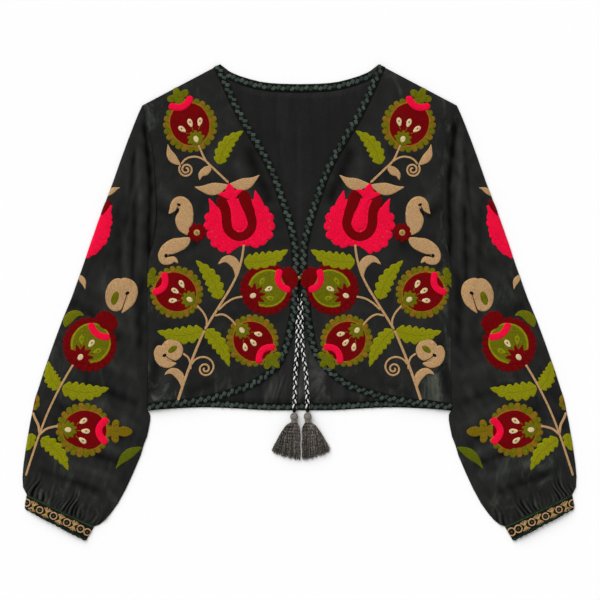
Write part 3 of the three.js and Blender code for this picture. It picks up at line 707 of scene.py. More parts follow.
@dataclass
class Needlework:
    """Stitched motifs on one side of the jacket, gathered into a single piece on its cloth."""

    name: str
    ground: list[BVHTree]
    material: bpy.types.Material
    side: int = 1
    pile_mm: float = 1.0
    step: float = 2.2
    edge_z: float = 3.0
    edge_lift: float = 0.6
    least_z: float = 0.2
    patches: list[Body] = field(default_factory=list)

    def patch(self, points: np.ndarray, faces: Faces, dye: np.ndarray, uv: np.ndarray) -> None:
        """Adds one patch of stitching.

        Args:
            points: its points, as s, y and the height over the cloth.
            faces: its faces.
            dye: its linear colour, or each point's.
            uv: each point's UV.
        """
        if self.side < 0:
            faces = [face[::-1] for face in faces]
        self.patches.append(Body(points, faces, dye, uv))

    def ribbon(
        self, rows: list[Row], dye: Dye, lift: float = 1.0, lobes: int = 0, depth: float = 0.0,
        round_ends: bool = True, step: float | None = None,
    ) -> None:
        """Stitches a band that swells and narrows along a line.

        Args:
            rows: s, y and the half width at points along its middle.
            dye: its yarn.
            lift: its height over the cloth.
            lobes: the number of lobes along each edge.
            depth: how deep the notches between lobes cut, as a share of the half width.
            round_ends: whether blunt ends are rounded.
            step: the distance between samples, where it isn't the piece's own.
        """
        line = through(rows, step or self.step)
        half = np.maximum(line[:, 2], 0.25)
        travelled = run_along(line[:, :2])
        if round_ends:
            left_over = np.minimum(travelled, travelled[-1] - travelled)
            cap = np.clip(left_over / np.maximum(half, 0.5), 0, 1)
            half = half * np.sqrt(np.clip(1 - (1 - cap) ** 2, 0.02, 1))
        tooth = np.sin(math.pi * ((lobes * travelled / travelled[-1]) % 1.0) ** 1.5)
        half = half * (1 - depth * (1 - np.abs(tooth) ** 0.7))
        reach = half[:, None] * ACROSS
        flat = line[:, None, :2] + left_of(line)[:, None, :] * reach[:, :, None]
        heights = np.tile(DOME * lift, (len(line), 1))
        heights[[0, -1]] = DOME[0] * lift
        points = np.dstack([flat, heights]).reshape(-1, 3)
        uv = np.dstack([reach, np.broadcast_to(travelled[:, None], reach.shape)]).reshape(-1, 2)
        self.patch(points, tube_faces(len(line), len(ACROSS), turned=True), dye.rgb, uv)

    def pad(
        self, centre: Point, turn: float, angles: np.ndarray, long: np.ndarray, wide: np.ndarray,
        across: np.ndarray, lift: float, dye: np.ndarray,
    ) -> None:
        """Adds a patch that is a middle with rings about it.

        Args:
            centre: its middle.
            turn: the angle of its axis from +y towards +s, in degrees.
            angles: the angles of a ring's points from the axis.
            long: each ring's reach along the axis, a row for each ring.
            wide: each ring's reach across it.
            across: each point's place across the stitches.
            lift: its height over the cloth.
            dye: its linear colour, or each point's.
        """
        axis = np.array([math.sin(math.radians(turn)), math.cos(math.radians(turn))])
        cross = np.array([axis[1], -axis[0]])
        along, beside = long * np.cos(angles), wide * np.sin(angles)
        flat = np.array(centre) + along[:, :, None] * axis + beside[:, :, None] * cross
        heights = np.broadcast_to((RING_DOME * lift)[:, None], across.shape)
        points = np.dstack([flat, heights]).reshape(-1, 3)
        onward = np.broadcast_to(angles * across[-1].mean() * 0.6, across.shape)
        uv = np.dstack([across, onward]).reshape(-1, 2)
        points, uv = np.vstack([(*centre, lift), points]), np.vstack([(0.0, 0.0), uv])
        self.patch(points, pad_faces(len(RINGS), len(angles)), dye, uv)

    def disc(
        self, centre: Point, radii: Point, dye: Dye, lift: float = 1.0, turn: float = 0.0,
        lobes: int = 0, depth: float = 0.0, second: Dye | None = None, point: float = 0.0,
    ) -> None:
        """Stitches a filled round, oval or petalled shape.

        Args:
            centre: its middle.
            radii: its radius along its axis and across it.
            dye: its yarn.
            lift: its height over the cloth.
            turn: the angle of its axis from +y towards +s, in degrees.
            lobes: the number of lobes round it.
            depth: how deep the notches cut, as a share of the radius.
            second: a yarn that some lobes lean to.
            point: how much it draws to a point along its axis, as on a seed.
        """
        around = max(14, int(2 * math.pi * max(radii) / self.step), 6 * lobes)
        angles = 2 * math.pi * np.arange(around) / around
        edge = notched(angles, lobes, depth) + point * np.clip(np.cos(angles), 0, 1) ** 6
        ring = RINGS[:, None] * np.ones(around)
        reach = ring * (1 + (edge - 1) * ring**3)
        dyes = dye.rgb
        if second:
            mix = (0.36 + 0.36 * np.sin(2.3 * np.floor(lobes * angles / (2 * math.pi))))[:, None]
            dyes = np.vstack([dye.rgb, np.tile(dye.rgb * (1 - mix) + second.rgb * mix, (len(RINGS), 1))])
        self.pad(centre, turn, angles, radii[0] * reach, radii[1] * reach, ring * max(radii), lift, dyes)

    def shape(
        self, centre: Point, outline: list[Point], dye: Dye, lift: float = 1.0, turn: float = 0.0,
        lobes: int = 0, depth: float = 0.0, lobed: Point = (0.0, 180.0),
    ) -> None:
        """Stitches a filled shape whose edge is told by its distance from a middle.

        Args:
            centre: its middle.
            outline: an angle from its axis in degrees, from -180 to 180, and the edge's distance there.
            dye: its yarn.
            lift: its height over the cloth.
            turn: the angle of its axis from +y towards +s, in degrees.
            lobes: the number of lobes that would go right round.
            depth: how deep the notches cut, as a share of the distance.
            lobed: the lowest and highest angle from the axis, either way, that has lobes.
        """
        table = through(outline, 2.0)
        around = max(48, int(2 * math.pi * np.mean(table[:, 1]) / 1.6))
        angles = -math.pi + 2 * math.pi * np.arange(around) / around
        table = table[np.argsort(table[:, 0])]
        away = np.abs(np.degrees(angles))
        share = smooth_rise(away, lobed[0] - 6, lobed[0] + 3)
        share *= 1 - smooth_rise(away, lobed[1] - 3, lobed[1] + 6)
        edge = np.interp(np.degrees(angles), table[:, 0], table[:, 1]) * notched(angles, lobes, depth * share)
        reach = edge * RINGS[:, None]
        self.pad(centre, turn, angles, reach, reach, reach, lift, dye.rgb)

    def leaf(
        self, base: Point, tip: Point, width: float, dye: Dye = Dye.LEAF, bend: float = 0.1, lobes: int = 6,
    ) -> None:
        """Stitches a leaf, whose lobed form has a darker middle.

        Args:
            base: where it joins its stem.
            tip: its point.
            width: its width over the lobes.
            dye: its yarn.
            bend: how far its middle bows, as a share of its length.
            lobes: the lobes along each edge.
        """
        run, rise = tip[0] - base[0], tip[1] - base[1]
        half = width * (0.57 if lobes else 0.5)
        rows = []
        for t, share in LEAF_LOBED if lobes else LEAF_PLAIN:
            bow = bend * math.sin(math.pi * t)
            rows.append((base[0] + run * t - rise * bow, base[1] + rise * t + run * bow, share * half))
        self.ribbon(rows, dye, 0.9, lobes, 0.32 if lobes else 0.0, round_ends=False, step=1.1)
        if lobes:
            self.ribbon([(s, y, 0.35) for s, y, _ in rows[:-1]], Dye.OLIVE, 1.05)

    def stem(self, places: list[Point], half: float, end: float | None = None) -> None:
        """Stitches a stem of even width, or one that changes evenly.

        Args:
            places: points along it.
            half: its half width at its start.
            end: its half width at its end.
        """
        growth = ((end or half) - half) / (len(places) - 1)
        self.ribbon([(s, y, half + growth * i) for i, (s, y) in enumerate(places)], Dye.TAN)

    def spiral(
        self, centre: Point, radius: float, start: float, turns: float, way: int, lead: float = 0.0,
    ) -> None:
        """Stitches a tendril that winds in to its centre.

        Args:
            centre: its eye.
            radius: its outer radius, to the middle of the band.
            start: the angle of its outer end, in degrees from +s towards +y.
            turns: how many turns it makes.
            way: 1 where it winds from +s towards +y, or -1.
            lead: how much farther out it starts, over its first quarter.
        """
        rows = []
        steps = int(16 * turns)
        for k in range(steps + 1):
            t = k / steps
            angle = math.radians(start) + way * 2 * math.pi * turns * t
            reach = radius * (1 - t) ** 0.85 + 0.9 * t + lead * max(0.0, 1 - 4 * t)
            rows.append((centre[0] + reach * math.cos(angle), centre[1] + reach * math.sin(angle), 1.5))
        self.ribbon(rows, Dye.TAN)

    def bud(
        self, body: tuple[float, ...], arm: list[Row], slit: list[Point], fleck: tuple[float, ...],
    ) -> None:
        """Stitches a tan bud: a round body, an arm that curls about it, a bare eye and a green fleck.

        Args:
            body: its middle, its two radii and its turn.
            arm: s, y and the half width at points along the arm.
            slit: the bare line between body and arm, from the eye to the arm's tip.
            fleck: the fleck's middle, its two radii and its turn.
        """
        self.disc(body[:2], body[2:4], Dye.TAN, 0.98, body[4])
        self.ribbon(arm, Dye.TAN)
        self.ribbon([(s, y, 0.75) for s, y in slit], Dye.BLACK, 1.15)
        self.disc(slit[0], (3.6, 2.4), Dye.BLACK, 1.3, 120)
        self.disc(fleck[:2], fleck[2:4], Dye.OLIVE, 1.5, fleck[4])

    def pomegranate(
        self, centre: Point, radius: float, turn: float, red_inside: bool = True, crown: Dye = Dye.OLIVE,
        crown_reach: float = 1.12, pointed: bool = False, smile: Point = (0.52, 0.8),
    ) -> None:
        """Stitches a pomegranate: scalloped rim, heart, seeds, calyx, pink crescent and crown.

        Args:
            centre: its middle.
            radius: its outer radius.
            turn: the angle of its crown from +y towards +s, in degrees.
            red_inside: a red heart in an ochre rim, or else a green heart in a red rim.
            crown: the crown's yarn.
            crown_reach: the crown's middle, as a share of the radius.
            pointed: whether the crown ends in a long point.
            smile: the pink crescent's middle and its ends, as shares of the radius.
        """
        axis = (math.sin(math.radians(turn)), math.cos(math.radians(turn)))

        def at(along: float, beside: float) -> Point:
            """A place in the fruit, from shares of its radius."""
            return (
                centre[0] + radius * (along * axis[0] + beside * axis[1]),
                centre[1] + radius * (along * axis[1] - beside * axis[0]),
            )

        def band(rows: list[Row], dye: Dye, lift: float) -> None:
            """Stitches a band, from shares of the radius."""
            self.ribbon([(*at(a, b), h * radius) for a, b, h in rows], dye, lift)

        def oval(spot: Point, long: float, wide: float, dye: Dye, lift: float, **more: object) -> None:
            """Stitches an oval, from shares of the radius."""
            self.disc(spot, (long * radius, wide * radius), dye, lift, **{"turn": turn, **more})

        def filled(spot: Point, outline: list[Point], dye: Dye, lift: float) -> None:
            """Stitches a filled shape, from shares of the radius."""
            self.shape(spot, [(a, r * radius) for a, r in outline], dye, lift, turn)

        rim, second = (Dye.OLIVE, Dye.OCHRE) if red_inside else (Dye.DARK_RED, None)
        petal, long = (Dye.OLIVE, 0.36) if red_inside else (Dye.DARK_RED, 0.5)
        oval(centre, 1.0, 0.99, rim, 0.8, lobes=24, depth=0.1, second=second)
        if red_inside:
            tall = 1.5 if pointed else 1.0
            other_side = [(-a, r) for a, r in CROWN_SIDE[::-1]]
            crown_edge = [*other_side, *[(a, r * tall) for a, r in CROWN_TOP], *CROWN_SIDE]
            filled(at(crown_reach, 0), crown_edge, crown, 1.15)
            for beside in (-0.16, 0, 0.16):
                vein = [(crown_reach - 0.12, beside, 0.02), (crown_reach + 0.16, beside * 1.7, 0.02)]
                band(vein, Dye.MOSS, 1.35)
            filled(at(0.02, 0), [(a, 1.07 * r) for a, r in HEART], Dye.OCHRE, 1.0)
            filled(at(0.02, 0), HEART, Dye.DARK_RED, 1.2)
        else:
            oval(at(crown_reach - 0.06, 0), 0.34, 0.44, crown, 1.15, lobes=9, depth=0.12)
            oval(at(0.06, 0), 0.79, 0.73, Dye.LEAF, 1.1)
            oval(at(0.07, 0), 0.73, 0.67, Dye.OLIVE, 1.25)
        calyx = at(-0.55, 0)
        for spread in (-92, -55, -18, 18, 55, 92):
            angle = math.radians(turn + spread)
            tip = (calyx[0] + long * radius * math.sin(angle), calyx[1] + long * radius * math.cos(angle))
            half_way = ((calyx[0] + tip[0]) / 2, (calyx[1] + tip[1]) / 2)
            rows = [(*calyx, 0.12 * radius), (*half_way, 0.115 * radius), (*tip, 0.015 * radius)]
            self.ribbon(rows, petal, 1.55, round_ends=False)
        oval(calyx, 0.24, 0.26, petal, 1.6)
        oval(calyx, 0.13, 0.1, Dye.CREAM, 2.1)
        for along, beside in ((0.1, -0.03), (0.0, 0.34), (0.0, -0.38)):
            seed = at(along, beside)
            lean = math.degrees(math.atan2(seed[0] - calyx[0], seed[1] - calyx[1])) + 180
            self.ribbon([(*at(-0.3, beside * 0.45), 0.6), (*at(along - 0.1, beside), 0.6)], petal, 1.45)
            flesh, kernel = (Dye.CREAM, Dye.OCHRE) if red_inside or along > 0 else (Dye.LEAF, Dye.OLIVE)
            oval(seed, 0.135, 0.095, flesh, 1.9, turn=lean, point=0.5)
            oval(seed, 0.05, 0.035, kernel, 2.15, turn=lean)
        middle, ends = smile
        spans = (-0.44, -0.34, -0.18, 0, 0.18, 0.34, 0.44)
        band([(middle + (ends - middle) * (b / 0.44) ** 2, b, 0.135) for b in spans], Dye.PINK, 2.0)

    def build(self) -> bpy.types.Object:
        """Lays the patches on the cloth and joins them into one piece.

        Returns:
            The finished piece.
        """
        for patch in self.patches:
            rows = patch.points * (self.side, 1.0, self.pile_mm)
            patch.points = np.array([self.laid(*row) for row in rows])
        return finish_piece(joined(self.name, self.patches, self.material), "embroidery")

    def laid(self, x: float, y: float, lift: float) -> tuple[float, ...]:
        """Puts a point on the cloth, or round its edge where there is no cloth under it.

        Args:
            x: its place across the jacket.
            y: its place along it.
            lift: its height over the cloth.

        Returns:
            The point.
        """
        top = top_of(self.ground, x, y)
        if top is not None:
            return (x, y, top + lift)
        near, normal, _, _ = self.ground[0].find_nearest(Vector((x, y, self.edge_z)) * MM)
        beside = near / MM + normal * max(lift, 0.0) * self.edge_lift
        return (beside.x, beside.y, max(beside.z, self.least_z))


@dataclass(frozen=True)
class Sizes:
    """The jacket's own sizes. A front's edge is told as y and s, every other line as s and y."""

    front_edge: tuple[Point, ...] = (
        (357, 118.5), (284.7, 84.8), (210, 41.7), (150, 18.8), (106.8, 5.9), (78.8, 1.5),
        (37, 0.9), (2.2, 7.4), (-40.8, 18.8), (-81, 27.5), (-96.9, 34.2),
    )
    front_hem: tuple[Point, ...] = (
        (34.2, -96.9), (47.9, -112.2), (71, -127.7), (101.6, -139.8), (132, -148.4), (162.8, -153.8),
        (193.4, -157.4), (227, -162),
    )
    back_hem: tuple[Point, ...] = (
        (0, -161.5), (50, -161.5), (95, -158.8), (140, -157.2), (185, -158.8), (217, -161.2),
    )
    back_neck: tuple[Point, ...] = (
        (0, 327.5), (34.5, 328.4), (59.3, 331.2), (84.2, 338), (97.7, 342.8), (109, 348.5),
    )
    hem_trim_width: float = 10.0
    front_trim_width: float = 12.0
    neck_trim_width: float = 13.0
    trim_thick: float = 1.1
    cuff_inner: Point = (307.6, -335.7)
    cuff_outer: Point = (409.0, -287.7)
    cuff_down: Point = (0.4277, -0.9039)


SIZES = Sizes()
LOZENGE = ((1, 0), (0.5, 0.6), (0, 1), (-0.5, 0.6), (-1, 0), (-0.5, -0.6), (0, -1), (0.5, -0.6))


@dataclass
class Braid:
    """Woven edging braid: a black band with scalloped edges and a chain of raised teal lozenges."""

    name: str
    node: str
    path: list[Point]
    width: float
    base_z: Callable[[np.ndarray, np.ndarray], np.ndarray]
    material: bpy.types.Material
    pitch: float = 7.0
    lozenge: float = 8.8
    shift: float = 0.0
    zigzag: float = 0.9
    scallop: float = 1.1
    link: float = 0.66  # half a lozenge's length, as a share of the pitch
    step: float = 1.3
    thick: float = SIZES.trim_thick

    def build(self) -> bpy.types.Object:
        """Builds the band and its lozenges.

        Returns:
            The finished braid.
        """
        line = through(self.path, self.step)
        bodies = [self.band(line), *self.chain(line)]
        return finish_piece(joined(self.name, bodies, self.material), "braid_trim", (self.node,))

    def band(self, line: np.ndarray) -> Body:
        """The black band, a closed strip with scalloped edges, along a line."""
        run = run_along(line[:, :2])
        half = self.width / 2 - self.scallop * (1 - np.abs(np.sin(math.pi * run / (self.pitch / 3))))
        share = np.array([-1, -0.86, -0.45, 0, 0.45, 0.86, 1, 1, 0, -1])
        rise = np.array([0.35, 0.95, 0.8, 0.62, 0.8, 0.95, 0.35, 0, 0, 0]) * self.thick
        reach = half[:, None] * share
        flat = line[:, None, :2] + left_of(line)[:, None, :] * reach[:, :, None]
        points = np.dstack([flat, self.base_z(flat[:, :, 0], flat[:, :, 1]) + rise]).reshape(-1, 3)
        uv = np.dstack([np.broadcast_to(run[:, None], reach.shape), reach]).reshape(-1, 2)
        return Body(points, tube_faces(len(line), len(share), turned=True), Dye.BLACK.rgb, uv)

    def chain(self, line: np.ndarray) -> list[Body]:
        """The lozenges along a line, each a closed pad of eight sides, overlapping like links.

        Args:
            line: the places along the band's middle.

        Returns:
            The lozenges.
        """
        run = run_along(line[:, :2])
        count = max(1, int(run[-1] / self.pitch))
        aside = left_of(line)
        random = np.random.default_rng(len(line))
        lozenges = []
        for k in range(count):
            place = (k + 0.5) * run[-1] / count
            middle = np.array([np.interp(place, run, line[:, i]) for i in (0, 1)])
            cross = np.array([np.interp(place, run, aside[:, i]) for i in (0, 1)])
            cross /= np.linalg.norm(cross)
            way = np.array([cross[1], -cross[0]])
            middle = middle + cross * (self.shift + (self.zigzag if k % 2 else -self.zigzag))
            long, wide = self.pitch * self.link, self.lozenge / 2 * random.uniform(0.84, 1.06)
            skew = 0.3 + random.uniform(-0.18, 0.18)
            shade = Dye.TEAL.rgb * random.uniform(0.5, 1.25) * np.array([1, random.uniform(0.95, 1.1), 1])
            points, uv = [], []
            for share, height in ((0.0, 1.12), (0.62, 1.05), (0.9, 0.8), (1.0, -0.1)):
                for u, v in LOZENGE if share else [(0.0, 0.0)]:
                    spot = middle + way * (u * long * share) + cross * ((v + skew * u) * wide * share)
                    points.append((*spot, float(self.base_z(*spot)) + self.thick * (0.5 + 0.62 * height)))
                    uv.append((u * long * share, v * wide * share))
            lozenges.append(Body(np.array(points), pad_faces(3, 8, turned=True), shade, np.array(uv)))
        return lozenges


@dataclass
class TieCord:
    """A tie cord of four strands, two white and two black, braided round each other."""

    side: int
    route: tuple[Point, ...]
    material: bpy.types.Material
    core_radius: float = 2.5
    core_sides: int = 10
    pitch: float = 13.6
    lean: float = 0.42
    oval: Row = (4.5, 1.7, 1.2)
    low_z: float = 5.8
    high_z: float = 6.5
    climb: Point = (-120.0, -164.2)
    diameter: float = 5.2
    step: float = 0.9
    told_step: float = 4.0

    def centre_line(self, step: float) -> np.ndarray:
        """The middle of the cord, as points a step apart."""
        line = through([(s, y, 0.0) for s, y in self.route], step)
        line[:, 0] *= self.side
        climbed = smooth_rise(-line[:, 1], -self.climb[0], -self.climb[1])
        line[:, 2] = self.low_z + (self.high_z - self.low_z) * climbed
        return line

    def build(self) -> bpy.types.Object:
        """Builds the braided cord.

        Returns:
            The finished cord.
        """
        line = self.centre_line(self.step)
        run = run_along(line)
        aside = np.column_stack([left_of(line), np.zeros(len(line))])
        bodies = [self.core(line, run, aside)]
        count = int(run[-1] / self.pitch)
        for column in range(4):
            for k in range(count):
                place = (k + 0.35 + 0.5 * (column % 2)) * run[-1] / (count + 0.5)
                bodies.append(self.stitch(line, run, aside, place, column))
        word = SIDES[self.side]
        piece = joined(f"tie_cord_braided_{word}", bodies, self.material)
        return finish_piece(piece, "cord", (f"tie_cord_{word}",))

    def core(self, line: np.ndarray, run: np.ndarray, aside: np.ndarray) -> Body:
        """The black core that the white strands lie on.

        Args:
            line: the cord's middle.
            run: the distance along it.
            aside: the direction to its left.

        Returns:
            The core.
        """
        ring = 2 * math.pi * np.arange(self.core_sides) / self.core_sides
        out, up = self.core_radius * np.cos(ring), self.core_radius * np.sin(ring)
        points = line[:, None, :] + aside[:, None, :] * out[:, None] + np.array([0.0, 0.0, 1.0]) * up[:, None]
        wrap, along = np.meshgrid(ring * self.core_radius, run)
        uv = np.dstack([wrap, along]).reshape(-1, 2)
        return Body(points.reshape(-1, 3), tube_faces(len(line), self.core_sides), Dye.BLACK.rgb, uv)

    def stitch(self, line: np.ndarray, run: np.ndarray, aside: np.ndarray, place: float, column: int) -> Body:
        """One white oval of the plait, leaning with its column.

        Args:
            line: the cord's middle.
            run: the distance along it.
            aside: the direction to its left.
            place: its distance along the cord.
            column: which of the four columns round the cord it is in.

        Returns:
            The oval.
        """
        middle = np.array([np.interp(place, run, line[:, i]) for i in range(3)])
        side = np.array([np.interp(place, run, aside[:, i]) for i in range(3)])
        side /= np.linalg.norm(side)
        along = np.array([side[1], -side[0], 0.0])
        angle = math.pi / 4 + column * math.pi / 2
        out = side * math.cos(angle) + np.array([0.0, 0.0, 1.0]) * math.sin(angle)
        cross = np.cross(along, out)
        lean = self.lean * (1 if column % 2 else -1)
        length_way = along * math.cos(lean) + cross * math.sin(lean)
        width_way = cross * math.cos(lean) - along * math.sin(lean)
        centre = middle + out * self.core_radius
        long, wide, tall = self.oval
        points, uv = [centre + out * 0.75 * tall], [(0.0, 0.0)]
        for share, height in ((0.62, 0.62), (1.0, 0.0)):
            for turn in 2 * math.pi * np.arange(8) / 8:
                u, v = long * share * math.cos(turn), wide * share * math.sin(turn)
                points.append(centre + length_way * u + width_way * v + out * (tall * (height - 0.25)))
                uv.append((v, u))
        return Body(np.array(points), pad_faces(2, 8, turned=True), Dye.WHITE.rgb, np.array(uv))

    def declare(self, cord: bpy.types.Object, tassel: bpy.types.Object) -> None:
        """Works out the cord's middle at its told step, and does nothing more with it.

        Args:
            cord: the braided cord; not used.
            tassel: the tassel at its free end; not used.
        """
        line = self.centre_line(self.told_step) * MM


@dataclass
class Tassel:
    """A yarn tassel: a ball head, a bound neck and a skirt of loose twisted yarn."""

    side: int
    end: Point
    material: bpy.types.Material
    inner: float
    outer: float = 31.0
    head_radius: float = 6.2
    head_z: float = 6.5
    gap: float = 0.36
    neck_drop: float = 6.6
    skirt: float = 62.0
    strands: int = 210
    strand_radius: float = 0.52
    seed: int = 5

    def build(self) -> bpy.types.Object:
        """Builds the head, the binding and the skirt, as one piece.

        Returns:
            The finished tassel.
        """
        top = self.end[1] - self.head_radius - self.gap
        middle = np.array([self.end[0] * self.side, top, self.head_z])
        bodies = [self.ball(middle), self.binding(middle)]
        random = np.random.default_rng(self.seed + self.side)
        for k in range(self.strands):
            bodies.append(self.strand(middle, k, random))
        word = SIDES[self.side]
        piece = joined(f"tassel_yarn_{word}", bodies, self.material)
        return finish_piece(piece, "tassel_yarn", (f"tassel_{word}",))

    def lathe(self, middle: np.ndarray, profile: list[Point], around: int, ribs: float) -> Body:
        """A turned body about the tassel's own length, closed at both ends.

        Args:
            middle: the head's middle.
            profile: the drop below the middle and the radius of each ring.
            around: the points of each ring.
            ribs: the height of the yarn's ribs.

        Returns:
            The body.
        """
        points, uv = [], []
        for drop, radius in profile:
            for j in range(around):
                angle = 2 * math.pi * j / around
                reach = radius * (1 + ribs * (1 if j % 2 else -1))
                points.append(middle + np.array([reach * math.cos(angle), -drop, reach * math.sin(angle)]))
                uv.append((angle * radius, drop))
        return Body(np.array(points), tube_faces(len(profile), around), Dye.GREY.rgb, np.array(uv))

    def ball(self, middle: np.ndarray) -> Body:
        """The ball head about its middle, with the yarn's ribs running over it."""
        profile = []
        for angle in math.pi * np.arange(13) / 12:
            reach = max(0.5, self.head_radius * 0.97 * math.sin(angle))
            profile.append((-self.head_radius * math.cos(angle), reach))
        return self.lathe(middle, profile, 44, 0.02)

    def binding(self, middle: np.ndarray) -> Body:
        """The three turns of yarn round the neck, under the head's middle."""
        profile = [(self.neck_drop - 2.4, 2.6)]
        for turn in range(3):
            drop = self.neck_drop - 1.8 + 1.5 * turn
            profile += [(drop, 3.9), (drop + 0.4, 4.4), (drop + 0.9, 4.35), (drop + 1.3, 3.8)]
        profile.append((self.neck_drop + 3.6, 2.4))
        return self.lathe(middle, profile, 28, 0.0)

    def strand(self, middle: np.ndarray, index: int, random: np.random.Generator) -> Body:
        """One strand of three sides, from inside the neck to its loose end.

        Args:
            middle: the head's middle.
            index: its number, which sets its place in the fan.
            random: the seeded source of its unevenness.

        Returns:
            The strand.
        """
        share = min(max((index + random.uniform(-0.4, 0.4)) / (self.strands - 1), 0.0), 1.0)
        layer = random.uniform(0, 1)
        root_angle = math.pi * share
        root = middle + np.array([
            self.side * -3.0 * math.cos(root_angle) * 0.9,
            -self.neck_drop - 1.0,
            2.6 * (layer - 0.5) * math.sin(root_angle) * 1.6,
        ])
        spread = -self.inner + (self.inner + self.outer) * share
        length = (self.skirt - 1 - 12.0 * share**2) * random.uniform(0.92, 1.03)
        tip_z = 0.75 + 4.0 * layer
        crown_z = 1.2 + 8.6 * layer * (1 - 0.55 * (2 * share - 1) ** 2)
        sway = random.uniform(-1.6, 1.6)
        phase = random.uniform(0, 6.28)
        count, sides = 12, 3
        points, uv = [], []
        for k in range(count + 1):
            t = k / count
            fan = spread * ((1 - share) * min(1.0, t / 0.14) ** 0.6 + share * t**0.6)
            wobble = sway * math.sin(2.6 * t + phase) * t + 0.35 * math.sin(19 * t + phase)
            x = root[0] + self.side * (fan + wobble)
            y = root[1] - (length - self.neck_drop + 2.0) * (1 - (1 - t) ** 1.15)
            z = root[2] * (1 - t) ** 2 + 2 * crown_z * t * (1 - t) + tip_z * t**2
            z += 0.3 * math.sin(17 * t + phase)
            radius = self.strand_radius * (1.0 - 0.45 * max(0.0, t - 0.75) / 0.25)
            for j in range(sides):
                angle = 2 * math.pi * j / sides + 3.4 * t * math.pi + 5 * phase
                points.append((x + radius * math.cos(angle), y, max(0.15, z + radius * math.sin(angle))))
                uv.append((j * 0.9 + 7.3 * index, t * length + 100 * phase))
        # Random tone, with painted shade: strands that lie lower in the skirt are coloured darker.
        tone = random.uniform(0.5, 1.5) * (0.75 + 0.35 * layer)
        return Body(np.array(points), tube_faces(count + 1, sides), Dye.GREY.rgb * tone, np.array(uv))


@dataclass
class CuffTrim:
    """The worked band of one cuff: tan rings and crossed strokes on black, and its looped edge.

    Its figures and loops are too fine to show, so they are drawn larger and fewer.
    """

    side: int
    material: bpy.types.Material
    ground: list[BVHTree]
    figures: str = "rrcrcrcrcr"
    loops: int = 12
    band_top: float = 2.8
    band_low: float = 20.6
    loop_middle: float = 23.0

    @property
    def span(self) -> float:
        """The cuff's length."""
        return math.dist(SIZES.cuff_inner, SIZES.cuff_outer)

    def at(self, along: float, down: float) -> Point:
        """The place on the cuff at a distance from its inner corner and a depth below its upper edge."""
        (s0, y0), (s1, y1), drop = SIZES.cuff_inner, SIZES.cuff_outer, SIZES.cuff_down
        share = along / self.span
        return (s0 + (s1 - s0) * share + drop[0] * down, y0 + (y1 - y0) * share + drop[1] * down)

    def build(self) -> bpy.types.Object:
        """Builds the worked figures.

        Returns:
            The finished piece.
        """
        work = Needlework(f"cuff_figures_{SIDES[self.side]}", self.ground, self.material, self.side, 0.9, 1.4)
        middle = (self.band_top + self.band_low) / 2
        reach = (self.band_low - self.band_top) / 2 - 0.6
        random = np.random.default_rng(7 + self.side)
        for k, figure in enumerate(map(Figure, self.figures)):
            centre = (k + 0.5) * self.span / len(self.figures)
            if figure is Figure.RING:
                self.ring(work, centre, middle + random.uniform(-0.8, 0.8), random.uniform(5.8, 7.4))
            else:
                self.cross(work, centre, middle, reach, random)
        for k in range(self.loops):
            place = self.at((k + 0.5) * self.span / self.loops, self.loop_middle + random.uniform(-0.4, 0.4))
            work.disc(place, (3.0, 4.7), Dye.BLACK_GREEN, 1.5, 155)
            work.disc(place, (1.5, 2.6), Dye.PIPING_GREEN, 1.9, 155)
        return work.build()

    def ring(self, work: Needlework, centre: float, middle: float, radius: float) -> None:
        """One tan ring with a teal eye.

        Args:
            work: the cuff's stitching.
            centre: its place along the cuff.
            middle: its depth.
            radius: its outer radius.
        """
        rows = []
        reach = radius * 0.78
        for angle in 2 * math.pi * np.arange(15) / 14:
            rows.append((*self.at(centre + reach * math.cos(angle), middle + reach * math.sin(angle)), 1.0))
        work.ribbon(rows, Dye.TAN, 1.1, round_ends=False)
        work.disc(self.at(centre, middle), (1.7, 1.7), Dye.TEAL, 0.9)

    def cross(
        self, work: Needlework, centre: float, middle: float, reach: float, random: np.random.Generator,
    ) -> None:
        """One figure of crossed strokes, like a butterfly.

        Args:
            work: the cuff's stitching.
            centre: its place along the cuff.
            middle: its depth.
            reach: how far the strokes go up and down.
            random: the seeded source of its unevenness.
        """
        for way in (-1, 1):
            for spread in (0.3, 0.72, 1.1):
                rows = []
                for t in (-1.0, -0.5, 0.0, 0.5, 1.0):
                    bow = math.copysign(abs(t) ** 1.3, t)
                    along = centre + way * (6.0 * spread * bow) + random.uniform(-0.5, 0.5)
                    rows.append((*self.at(along, middle + reach * t * (1.12 - 0.3 * spread)), 0.62))
                work.ribbon(rows, Dye.TAN)
        work.disc(self.at(centre, middle), (1.9, 1.9), Dye.LEAF, 1.3)


